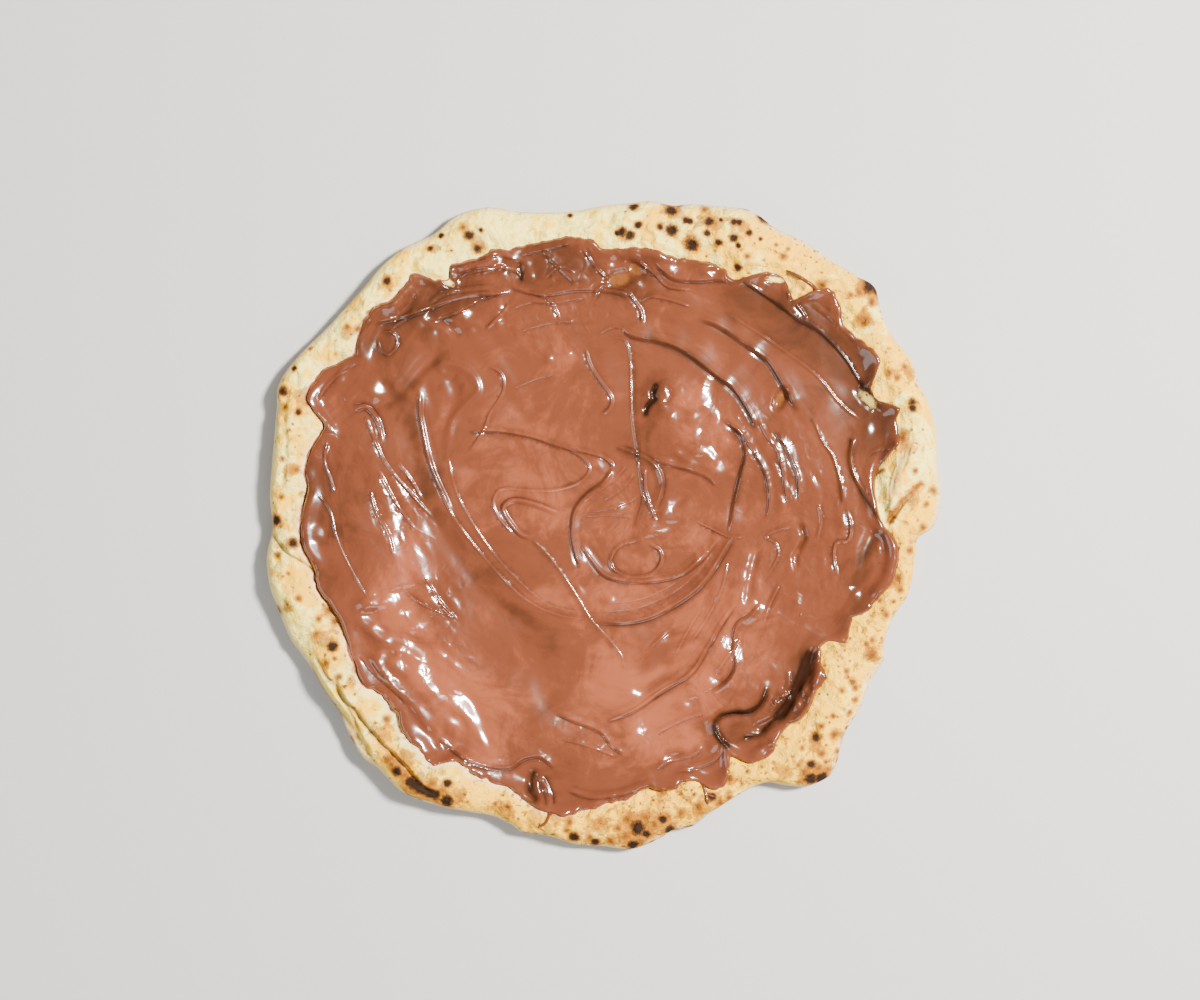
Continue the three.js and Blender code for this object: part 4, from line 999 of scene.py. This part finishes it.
def add_mesh(name, points, triangles, values):
    mesh = bpy.data.meshes.new(name)
    mesh.from_pydata([tuple(p) for p in points], [], [tuple(t) for t in triangles.tolist()])
    for key, numbers in values.items():
        layer = mesh.attributes.new(key, "FLOAT", "POINT")
        layer.data.foreach_set("value", numbers.astype(np.float32))
    mesh.polygons.foreach_set("use_smooth", np.ones(len(mesh.polygons), bool))
    piece = bpy.data.objects.new(name, mesh)
    bpy.context.collection.objects.link(piece)
    return piece


# The outline's own box gives the offset from the reading centre to the CAD origin.
all_round = np.arange(0, 360, 0.25)
outline = np.array(across(bread_edge(all_round) * METRES_PER_PIXEL, all_round))
low_corner, high_corner = outline.min(axis=1), outline.max(axis=1)
offset = (low_corner + high_corner) / 2
cad_size = np.array((cad_high.x - cad_low.x, cad_high.y - cad_low.y))
room = ((cad_size - 2 * BOX_MARGIN) / (high_corner - low_corner)).min()
ramps = facet_ramps()


def into_frame(points):
    """Moves points from the reading centre to the CAD's origin and keeps them inside its box."""
    moved = points.copy()
    moved[:, :2] = (moved[:, :2] - offset) * room
    moved[:, 2] = np.minimum(moved[:, 2], cad_high.z - BOX_MARGIN)
    return moved


def nearness(spots, points):
    """1 at the middle of the nearest spot on the crust, 0 at its edge, below 0 outside."""
    x, y = places_of(spots)
    radius, degrees = polar(x, y)
    radius = np.minimum(radius, rim_at(degrees)["edge"])
    middles = np.column_stack([x, y, dough_top(radius, degrees, True)])
    best = np.full(len(points), FAR_OUTSIDE)
    for (_, _, size), spot in zip(spots, middles):
        distance = np.linalg.norm((points - spot) * (1, 1, SPOT_HEIGHT_WEIGHT), axis=1)
        best = np.maximum(best, 1 - distance / (size * METRES_PER_PIXEL))
    return best


def line_nearness(lines, x, y):
    """The same for lines."""
    best = np.full(x.shape, FAR_OUTSIDE)
    for size, points in lines:
        distance, _, _ = distance_to_path(smooth_path(points), x, y)
        best = np.maximum(best, 1 - distance / (size * METRES_PER_PIXEL))
    return best


def make_crust():
    def covered(radius, degrees):
        return dough_top(radius, degrees, False)

    def top(degrees, share):
        rim = rim_at(degrees)
        inner = rim["spread"] - FINE_RINGS_START
        radius = inner + (rim["crest"] - inner) * share
        return radius, dough_top(radius, degrees, True)

    def outer(degrees, share):
        rim = rim_at(degrees)
        radius = rim["crest"] + (rim["edge"] - rim["crest"]) * math.sin(share * math.pi / 2)
        return radius, dough_top(radius, degrees, True)

    def under(degrees, share):
        rim = rim_at(degrees)
        turn = share * math.pi / 2
        return rim["edge"] - UNDERSIDE_INSET * (1 - math.cos(turn)), rim["belly"] * (1 - math.sin(turn))

    rings = [middle(covered(np.zeros(1), np.zeros(1))[0])] + hidden_rings(HIDDEN_CRUST_RINGS, covered)
    steps = [(top, 0)]
    for place, count in ((top, CRUST_TOP_RINGS), (outer, CRUST_OUTER_RINGS), (under, CRUST_UNDER_RINGS)):
        steps += [(place, k / count) for k in range(1, count + 1)]
    for number, (place, share) in enumerate(steps):
        rings.append(ring(CRUST_COLUMNS, number % 2 == 1, lambda degrees: place(degrees, share)))
    rings += hidden_rings(reversed(HIDDEN_CRUST_RINGS), lambda radius, degrees: radius * 0)
    rings.append(middle(0))
    points, triangles = closed_surface(rings)

    x, y = points[:, 0], points[:, 1]
    radius, degrees = polar(x, y)
    rim = rim_at(degrees)
    beside = radius - rim["border"]
    values = {
        "char": np.maximum(nearness(CHAR_SPOTS, points), line_nearness(CHAR_LINES, x, y)),
        "toast": np.maximum(nearness(TOAST_SPOTS, points),
                            np.minimum(line_nearness(TOAST_LINES, x, y), TOAST_LINE_MOST)),
        "scorch": nearness(SCORCHES, points),
        "crease": crease_field(x, y)[0],
        "bake": bake_at(degrees),
        # The flank and hem masks carry painted shade; the stain beside the spread is partly painted shadow.
        "flank": np.clip((radius - rim["crest"]) / (rim["edge"] - rim["crest"]), 0, 1),
        "stain_and_shadow": smooth(1 - beside / (stain_and_shadow_reach(degrees) * MM)),
        "hem": smooth(1 - beside / (hem_reach(degrees) * MM)),
    }
    return add_mesh("focaccia_bread", into_frame(points), triangles, values)


def first_in_each_cell(points, size):
    """Drops points that share a small square with an earlier one."""
    cells = np.floor(points / size).astype(np.int64)
    _, first = np.unique(cells[:, 0] * 1_000_000 + cells[:, 1], return_index=True)
    return points[np.sort(first)]


def spread_points(border):
    """Mesh points inside the border: dense along the marks, even elsewhere."""
    marks = first_in_each_cell(mark_points(SPREAD_MARKS), CLOSEST_POINTS)
    tree = KDTree(len(marks) + len(border))
    for number, (x, y) in enumerate(np.vstack([marks, border])):
        tree.insert((x, y, 0), number)
    tree.balance()
    reach = np.abs(border).max()
    rows = np.arange(-reach, reach, SPREAD_CELL * math.sqrt(0.75))
    columns = np.arange(-reach, reach, SPREAD_CELL)
    x, y = np.meshgrid(columns, rows)
    x = x + np.where(np.arange(len(rows)) % 2 == 0, 0, SPREAD_CELL / 2)[:, None]
    even = np.column_stack([x.ravel(), y.ravel()])
    clear = [tree.find((px, py, 0))[2] > CELL_CLEARANCE * SPREAD_CELL for px, py in even]
    points = np.vstack([marks, even[clear]])
    radius, degrees = polar(points[:, 0], points[:, 1])
    rim = rim_at(degrees)
    return points[radius < rim["border"] - rim["rounding"] * SPREAD_EDGE_SHARES[0] - CLOSEST_POINTS]


def spread_top(radius, degrees):
    return dough_top(radius, degrees, False) + spread_thickness(radius, degrees)


def make_spread():
    def edge(degrees, share):
        rim = rim_at(degrees)
        radius = rim["border"] - rim["rounding"] * share
        return radius, spread_top(radius, degrees)

    def tuck(degrees, share):
        turn = share * math.pi / 2
        radius = rim_at(degrees)["border"] - SPREAD_EDGE_TUCK * (1 - math.cos(turn))
        lift = SPREAD_EDGE_THICKNESS * (1 - math.sin(turn)) - SPREAD_EDGE_SINK * math.sin(turn)
        return radius, dough_top(radius, degrees, False) + lift

    def underside(radius, degrees):
        return dough_top(radius, degrees, False) + SPREAD_UNDERSIDE_LIFT

    steps = [(edge, share) for share in SPREAD_EDGE_SHARES]
    steps += [(tuck, k / SPREAD_TUCK_RINGS) for k in range(1, SPREAD_TUCK_RINGS + 1)]
    rings = [ring(SPREAD_COLUMNS, False, lambda degrees: place(degrees, share)) for place, share in steps]
    rings += hidden_rings(HIDDEN_SPREAD_RINGS, underside)
    rings.append(middle(underside(np.zeros(1), np.zeros(1))[0]))
    rim_points, rim_triangles = closed_surface(rings)

    border = rim_points[:SPREAD_COLUMNS, :2]
    flat = np.vstack([border, spread_points(border)])
    loop = [(i, (i + 1) % SPREAD_COLUMNS) for i in range(SPREAD_COLUMNS)]
    placed, _, faces, origins, _, _ = delaunay_2d_cdt([Vector(p) for p in flat], loop, [], 1, SAME_POINT)
    flat = np.array([tuple(p) for p in placed])
    top_points = np.column_stack([flat, spread_top(*polar(flat[:, 0], flat[:, 1]))])

    # The top's border points are the rim's first ring.
    number = np.arange(len(flat)) + len(rim_points)
    for new, old in enumerate(origins):
        if old and old[0] < SPREAD_COLUMNS:
            number[new] = old[0]
    points = np.vstack([rim_points, top_points])
    triangles = np.vstack([rim_triangles, number[np.array(faces)]])
    used, triangles = np.unique(triangles, return_inverse=True)
    points = points[used]
    x, y = points[:, 0], points[:, 1]
    # tone carries painted shade and sheen, and groove painted shade at the marks' feet.
    values = dict(zip(("bare", "pale", "tone", "pit", "lines", "lined"),
                      bareness(x, y) + spread_tone(x, y) + lines_along_marks(SPREAD_MARKS, x, y)))
    values["groove"] = mark_relief(SPREAD_MARKS, x, y)[1]
    values["restless"] = restless_relief(x, y)[0]
    return add_mesh("chocolate_surface", into_frame(points), triangles.reshape(-1, 3), values)


def make_strands():
    """Thin strands of the spread on the crust, as tapered tubes."""
    points, triangles = [], []
    start = 0
    turn = np.linspace(0, 2 * math.pi, STRAND_SIDES, endpoint=False)[None, :, None]
    for radius, path in STRANDS.values():
        line = smooth_path(path)
        height = dough_top(*polar(line[:, 0], line[:, 1]), True)
        sideways = np.column_stack([to_the_left(line), np.zeros(len(line))])[:, None, :]
        share = np.linspace(0, 1, len(line))
        size = radius * MM * np.sqrt(np.clip(1 - (2 * share - 1) ** STRAND_END_POWER, STRAND_TIP, 1))
        centre = np.column_stack([line, height + STRAND_LIFT * size])
        loops = (centre[:, None, :]
                 + size[:, None, None] * (np.cos(turn) * sideways + np.sin(turn) * np.array([0, 0, 1])))
        points.append(loops.reshape(-1, 3))
        for k in range(len(line) - 1):
            for i in range(STRAND_SIDES):
                a = start + k * STRAND_SIDES + i
                b = start + k * STRAND_SIDES + (i + 1) % STRAND_SIDES
                triangles += [(a, b, b + STRAND_SIDES), (a, b + STRAND_SIDES, a + STRAND_SIDES)]
        last = start + (len(line) - 1) * STRAND_SIDES
        for i in range(1, STRAND_SIDES - 1):
            triangles += [(start, start + i + 1, start + i), (last, last + i, last + i + 1)]
        start += len(line) * STRAND_SIDES
    return add_mesh("crust_strands", into_frame(np.vstack(points)), np.array(triangles), {})


# ---- Materials ----

class Nodes:
    """Short helpers for building one material's node tree."""

    def __init__(self, name):
        self.material = bpy.data.materials.new(name)
        self.material.use_nodes = True
        self.tree = self.material.node_tree
        self.shader = self.tree.nodes["Principled BSDF"]
        self.place = self.add("TexCoord").outputs["Object"]

    def add(self, kind, inputs=None):
        node = self.tree.nodes.new("ShaderNode" + kind)
        self.fill(node, inputs or {})
        return node

    def fill(self, node, inputs):
        """Sets a node's inputs to numbers, colours or vectors, or links them."""
        for key, value in inputs.items():
            socket = node.inputs[key]
            if isinstance(value, tuple):
                socket.default_value = (*value, 1) if socket.type == "RGBA" else value
            elif isinstance(value, (int, float)):
                socket.default_value = value
            else:
                self.tree.links.new(value, socket)

    def noise(self, scale, detail=4, roughness=0.55, distortion=0.0, place=None):
        return self.add("TexNoise", {"Vector": place or self.place, "Scale": scale, "Detail": detail,
                                     "Roughness": roughness, "Distortion": distortion}).outputs["Fac"]

    def cells(self, scale):
        return self.add("TexVoronoi", {"Vector": self.place, "Scale": scale}).outputs

    def attribute(self, name):
        node = self.add("Attribute")
        node.attribute_name = name
        return node.outputs["Fac"]

    def math(self, operation, a, b):
        node = self.add("Math", {0: a, 1: b})
        node.operation = operation
        return node.outputs[0]

    def plus(self, a, b):
        return self.math("ADD", a, b)

    def minus(self, a, b):
        return self.math("SUBTRACT", a, b)

    def times(self, a, b):
        return self.math("MULTIPLY", a, b)

    def around_zero(self, value, reach):
        """A value of 0 to 1 as one from -reach to reach."""
        return self.times(self.minus(value, 0.5), 2 * reach)

    def step(self, value, low, high):
        """0 below low, 1 above high, smooth between."""
        node = self.add("MapRange", {"Value": value, "From Min": low, "From Max": high})
        node.interpolation_type = "SMOOTHSTEP"
        return node.outputs["Result"]

    def mix(self, share, a, b):
        node = self.add("Mix")
        node.data_type = "RGBA"
        self.fill(node, {0: share, 6: a, 7: b})
        return node.outputs[2]

    def cover(self, colour, value, layers, within=1):
        """Lays tints over a colour where a value rises from low to high: (low, high, share, tint)."""
        for low, high, share, tint in layers:
            here = self.times(within, self.step(value, low, high))
            colour = self.mix(self.times(here, share), colour, tint)
        return colour

    def blend(self, colour, name, share, tint):
        """Lays a tint over a colour by an attribute."""
        return self.mix(self.times(self.attribute(name), share), colour, tint)

    def vector_math(self, operation, *vectors):
        node = self.add("VectorMath", dict(enumerate(vectors)))
        node.operation = operation
        return node.outputs

    def combine(self, *values):
        return self.add("CombineXYZ", dict(enumerate(values))).outputs["Vector"]

    def streaks(self, centre):
        """Noise that runs in rings round a place in the picture."""
        away = self.vector_math("SUBTRACT", self.place, (*frame_place(*centre), 0))["Vector"]
        flat = self.vector_math("MULTIPLY", away, (1, 1, 0))["Vector"]
        length = self.vector_math("LENGTH", flat)["Value"]
        way = self.add("SeparateXYZ", {0: self.vector_math("NORMALIZE", flat)["Vector"]}).outputs
        place = self.combine(self.times(length, STREAKS_PER_METRE), self.times(way["X"], STREAK_TURNS),
                             self.times(way["Y"], STREAK_TURNS))
        return self.noise(1, 5, 0.6, 1.0, place)

    def bump(self, heights):
        """Fine relief from heights in metres."""
        total = heights[0]
        for height in heights[1:]:
            total = self.plus(total, height)
        normal = self.add("Bump", {"Strength": 1, "Distance": 1, "Height": total}).outputs["Normal"]
        self.fill(self.shader, {"Normal": normal, "Coat Normal": normal})


CREAM = (0.97, 0.63, 0.03)
PALE_FLOUR = (0.97, 0.80, 0.20)
BUTTER = (0.97, 0.50, 0.006)
GOLDEN = (0.36, 0.125, 0.005)
BROWNED = (0.19, 0.062, 0.008)
TOAST = (0.085, 0.030, 0.009)
CHAR = (0.013, 0.008, 0.006)
# Painted shade: a duller, greyer dough for the rim's steep outer side.
SHADED_FLANK_DOUGH = (0.72, 0.56, 0.33)
# A duller dough colour painted where the spread's edge shades the crust.
SHADED_HEM_DOUGH = (0.90, 0.66, 0.42)
SHADED_DOUGH = (0.24, 0.165, 0.085)
# A chocolate stain on the crust beside the spread, in a colour that also serves as painted shadow there.
STAIN_AND_SHADOW = (0.24, 0.075, 0.035)
# Lighter chocolate for tones above 0, mostly painted sheen.
LIGHT_CHOCOLATE = (0.245, 0.063, 0.0265)
CHOCOLATE = (0.126, 0.0322, 0.0122)
# Darker chocolate for tones below 0, mostly painted shade, also in fine lines and round bare patches.
DEEP_CHOCOLATE = (0.066, 0.0190, 0.0062)
# The darkest painted shade, in the marks' grooves and in pits and channels.
PAINTED_SHADE_CHOCOLATE = (0.018, 0.0055, 0.0022)
STREAKS_PER_METRE = 130
STREAK_TURNS = 5

# Layers of colour: from where to where a value rises for them, how strong they are, and the tint.
FLOUR_STEP = (0.38, 0.5)
BUTTER_LAYERS = ((0.58, 0.66, 0.9, BUTTER),)
FLANK_LAYERS = ((0.72, 1, 1, SHADED_FLANK_DOUGH),)
SCORCH_LAYERS = ((0.05, 0.5, 0.72, GOLDEN), (0.6, 1.3, 0.5, BROWNED))
TOAST_LAYERS = ((-1, 0.1, 0.8, GOLDEN), (0, 0.5, 0.8, BROWNED), (0.5, 1, 0.7, TOAST))
CHAR_LAYERS = ((-1.2, -0.2, 0.8, GOLDEN), (-0.4, 0, 0.9, TOAST), (0, 0.35, 0.9, CHAR))
STAIN_AND_SHADOW_LAYERS = ((0.3, 0.4, 1, STAIN_AND_SHADOW),)
HEM_SHARE = 0.85
CREASE_SHARE = 0.8

# Baked patches: the noise's scale per metre, and their layer. Baked specks: cells per metre, and
# how much more likely the baking makes them; their layers go by the distance from a cell's middle.
BAKED_PATCHES = (
    (75, (0.72, 0.80, 0.55, GOLDEN)), (230, (0.71, 0.76, 0.75, GOLDEN)), (330, (0.77, 0.81, 0.8, BROWNED)),
)
BAKED_SPECKS = ((110, 0.2), (200, 0.3), (380, 0.3))
SPECK_CHANCE = (0.9, 0.93)
SPECK_LAYERS = ((-0.42, -0.22, 0.75, GOLDEN), (-0.2, -0.1, 0.85, TOAST))
# How much the baking adds to the noises of the flour, the butter-coloured parts and the patches.
FLOUR_BAKE = -0.1
BUTTER_BAKE = 0.34
PATCH_BAKE = 0.2

TONE_STEP = (0, 1.1)               # tones, above and below 0, where the spread is palest and darkest
DARKEST_STEP = (1, 2)
TONE_MOTTLE = 1.5
TONE_STREAKS = 0.6
GROOVE_FLOOR = 0.4
LINES_PER_MM = 0.6
LINES_DRIFT = 6
# Painted shade in the fine lines' grooves, and round the bare patches' sunken edges.
LINE_LAYERS = ((-0.5, -0.36, 0.35, DEEP_CHOCOLATE),)
BARE_RIM_LAYERS = ((-0.7, 0, 0.3, DEEP_CHOCOLATE),)
BARE_SPECK_LAYERS = ((0.58, 0.64, 1, BROWNED),)
BARE_STEP = (-0.1, 0.5)
BARE_STRENGTH = (0.55, 0.35)       # how strongly the bread shows, and how much more where it is pale
BEAD_CHANCE = (0.93, 0.95)
BEAD_RADIUS = 0.22                 # in cells

CRUST_ROUGHNESS = 0.85
CRUST_SPECULAR = 0.1
SPREAD_ROUGHNESS = (0.22, 0.12, 0.3)                     # smooth, how much the noise and bread add
SPREAD_SPECULAR = 0.08
SPREAD_COAT_ROUGHNESS = 0.11
# Heights of the relief that is in the materials.
CRUST_GRAIN = 0.8 * MM
CRUST_BLISTERS = 1.6 * MM
SPREAD_GRAIN = 0.16 * MM
LINE_HEIGHT = 0.12 * MM
RESTLESS_HEIGHT = 0.5 * MM
BEAD_HEIGHT = 0.4 * MM


def crust_material():
    nodes = Nodes("floury_crust")
    bake = nodes.attribute("bake")
    flour = nodes.plus(nodes.noise(110, 6, 0.65), nodes.times(bake, FLOUR_BAKE))
    butter = nodes.plus(nodes.noise(60, 6, 0.65, 0.6), nodes.times(bake, BUTTER_BAKE))
    colour = nodes.mix(nodes.step(flour, *FLOUR_STEP), CREAM, PALE_FLOUR)
    colour = nodes.cover(colour, butter, BUTTER_LAYERS)
    # Painted shade on the rim's steep outer side and where the spread's edge shades the crust.
    colour = nodes.cover(colour, nodes.attribute("flank"), FLANK_LAYERS)
    colour = nodes.blend(colour, "hem", HEM_SHARE, SHADED_HEM_DOUGH)
    scorch = nodes.plus(nodes.attribute("scorch"), nodes.around_zero(nodes.noise(130, 6, 0.7), 2.4))
    colour = nodes.cover(colour, scorch, SCORCH_LAYERS)
    more = nodes.times(bake, PATCH_BAKE)
    for scale, layer in BAKED_PATCHES:
        colour = nodes.cover(colour, nodes.plus(nodes.noise(scale, 5, 0.6, 0.5), more), [layer])
    for scale, likely in BAKED_SPECKS:
        cells = nodes.cells(scale)
        chosen = nodes.step(nodes.plus(cells["Color"], nodes.times(bake, likely)), *SPECK_CHANCE)
        distance = nodes.plus(cells["Distance"], nodes.around_zero(nodes.noise(scale * 4, 4, 0.7), 0.3))
        colour = nodes.cover(colour, nodes.minus(0, distance), SPECK_LAYERS, chosen)
    colour = nodes.blend(colour, "crease", CREASE_SHARE, SHADED_DOUGH)
    ragged = nodes.around_zero(nodes.noise(330, 6, 0.72), 1)
    colour = nodes.cover(colour, nodes.plus(nodes.attribute("toast"), ragged), TOAST_LAYERS)
    colour = nodes.cover(colour, nodes.plus(nodes.attribute("char"), ragged), CHAR_LAYERS)
    # A chocolate stain beside the spread, which is painted shadow where it widens away from the key light.
    stain_and_shadow = nodes.plus(nodes.attribute("stain_and_shadow"), nodes.around_zero(nodes.noise(350, 3), 0.5))
    colour = nodes.cover(colour, stain_and_shadow, STAIN_AND_SHADOW_LAYERS)
    nodes.fill(nodes.shader, {"Base Color": colour, "Roughness": CRUST_ROUGHNESS,
                              "Specular IOR Level": CRUST_SPECULAR})
    nodes.bump([nodes.times(nodes.noise(600, 5, 0.6), CRUST_GRAIN),
                nodes.times(nodes.noise(190, 4, 0.6, 0.6), CRUST_BLISTERS)])
    return nodes.material


def spread_material():
    nodes = Nodes("chocolate_gloss")
    # The tone: painted shade and painted sheen from the tone strokes, with random mottling and streaks.
    mottle = nodes.plus(nodes.around_zero(nodes.noise(34, 6, 0.65, 1.2), TONE_MOTTLE),
                        nodes.around_zero(nodes.streaks(SWIRL_CENTRE), TONE_STREAKS))
    tone = nodes.plus(nodes.attribute("tone"), mottle)
    depth = nodes.minus(0, tone)
    colour = nodes.mix(nodes.step(tone, *TONE_STEP), CHOCOLATE, LIGHT_CHOCOLATE)
    colour = nodes.mix(nodes.step(depth, *TONE_STEP), colour, DEEP_CHOCOLATE)
    colour = nodes.mix(nodes.step(depth, *DARKEST_STEP), colour, PAINTED_SHADE_CHOCOLATE)
    # Painted shade in the grooves at the marks' feet.
    groove = nodes.plus(nodes.noise(120, 3), GROOVE_FLOOR)
    colour = nodes.blend(colour, "groove", groove, PAINTED_SHADE_CHOCOLATE)

    # Fine lines beside the marks, with painted shade in their grooves.
    along_marks = nodes.combine(nodes.times(nodes.attribute("lines"), LINES_PER_MM),
                                nodes.times(nodes.noise(14, 2), LINES_DRIFT))
    lines = nodes.noise(1, 2, 0.6, place=along_marks)
    lined = nodes.attribute("lined")
    colour = nodes.cover(colour, nodes.minus(0, lines), LINE_LAYERS, lined)

    # Bread that shows through.
    bare = nodes.plus(nodes.attribute("bare"), nodes.around_zero(nodes.noise(420, 5, 0.65), 0.8))
    pale = nodes.attribute("pale")
    shows = nodes.step(bare, *BARE_STEP)
    bread = nodes.cover(nodes.mix(pale, BROWNED, PALE_FLOUR), nodes.noise(420, 3), BARE_SPECK_LAYERS)
    # Painted shade round the bare patches' sunken edges.
    colour = nodes.cover(colour, bare, BARE_RIM_LAYERS)
    least, more = BARE_STRENGTH
    colour = nodes.mix(nodes.times(shows, nodes.plus(nodes.times(pale, more), least)), colour, bread)

    smoothest, noisy, on_bread = SPREAD_ROUGHNESS
    roughness = nodes.plus(nodes.plus(nodes.times(nodes.noise(160, 3), noisy), smoothest),
                           nodes.times(shows, on_bread))
    dull = nodes.math("MAXIMUM", shows, nodes.attribute("pit"))
    nodes.fill(nodes.shader, {"Base Color": colour, "Roughness": roughness,
                              "Specular IOR Level": SPREAD_SPECULAR, "Coat Weight": nodes.minus(1, dull),
                              "Coat Roughness": SPREAD_COAT_ROUGHNESS})

    beads = nodes.cells(260)
    bead = nodes.times(nodes.step(beads["Color"], *BEAD_CHANCE),
                       nodes.step(nodes.minus(BEAD_RADIUS, beads["Distance"]), 0, BEAD_RADIUS))
    restless = nodes.times(nodes.attribute("restless"), nodes.noise(170, 1, 0.4, 0.8))
    nodes.bump([nodes.times(nodes.noise(110, 2, 0.4), SPREAD_GRAIN),
                nodes.times(nodes.times(lined, lines), LINE_HEIGHT),
                nodes.times(restless, RESTLESS_HEIGHT),
                nodes.times(bead, BEAD_HEIGHT)])
    return nodes.material


def floor_material():
    nodes = Nodes("pale_floor")
    nodes.fill(nodes.shader, {"Base Color": FLOOR_COLOUR, "Roughness": FLOOR_ROUGHNESS})
    return nodes.material


# ---- Camera, light and floor ----

def frame_place(x, y):
    """Metres from the CAD origin, for a place in the picture."""
    x, y = from_picture(x, y)
    return x - offset[0], y - offset[1]


def make_camera():
    data = bpy.data.cameras.new("camera")
    view_width = PICTURE_WIDTH * METRES_PER_PIXEL
    middle_height = (cad_low.z + cad_high.z) / 2
    data.sensor_width = FILM_WIDTH
    data.lens = FILM_WIDTH * (CAMERA_HEIGHT - middle_height) / view_width
    camera = bpy.data.objects.new("camera", data)
    camera.location = (*frame_place(*PICTURE_CENTRE), CAMERA_HEIGHT)
    bpy.context.collection.objects.link(camera)
    bpy.context.scene.camera = camera


def add_light(name, place, size, power, colour):
    data = bpy.data.lights.new(name, "AREA")
    data.shape = "DISK"
    data.size = size
    data.energy = power
    data.color = colour
    light = bpy.data.objects.new(name, data)
    light.location = place
    light.rotation_euler = (-Vector(place)).to_track_quat("-Z", "Y").to_euler()
    bpy.context.collection.objects.link(light)


def around(turn, rise, distance):
    """A place at an angle from +X, an angle above the floor and a distance from the middle."""
    x, y = across(distance * math.cos(math.radians(rise)), turn)
    return x, y, distance * math.sin(math.radians(rise))


def make_light_and_floor():
    add_light("key", KEY_PLACE, *KEY_LIGHT)
    for name, (turn, rise, distance, *light) in SOFT_LIGHTS.items():
        add_light(name, around(turn, rise, distance), *light)
    world = bpy.data.worlds.new("studio")
    world.use_nodes = True
    background = world.node_tree.nodes["Background"]
    background.inputs["Color"].default_value = (*STUDIO_COLOUR, 1)
    background.inputs["Strength"].default_value = STUDIO_STRENGTH
    bpy.context.scene.world = world
    bpy.ops.mesh.primitive_plane_add(size=FLOOR_SIZE, location=(0, 0, -FLOOR_DROP))
    floor = bpy.context.object
    floor.name = "floor"
    floor.data.materials.append(floor_material())


# ---- Putting it together ----

chocolate = spread_material()

crust = make_crust()
crust.data.materials.append(crust_material())
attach(crust, "root")
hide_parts("bread")

spread = make_spread()
spread.data.materials.append(chocolate)
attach(spread, "root")
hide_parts("chocolate_spread")

strands = make_strands()
strands.data.materials.append(chocolate)
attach(strands, "root")

make_camera()
make_light_and_floor()
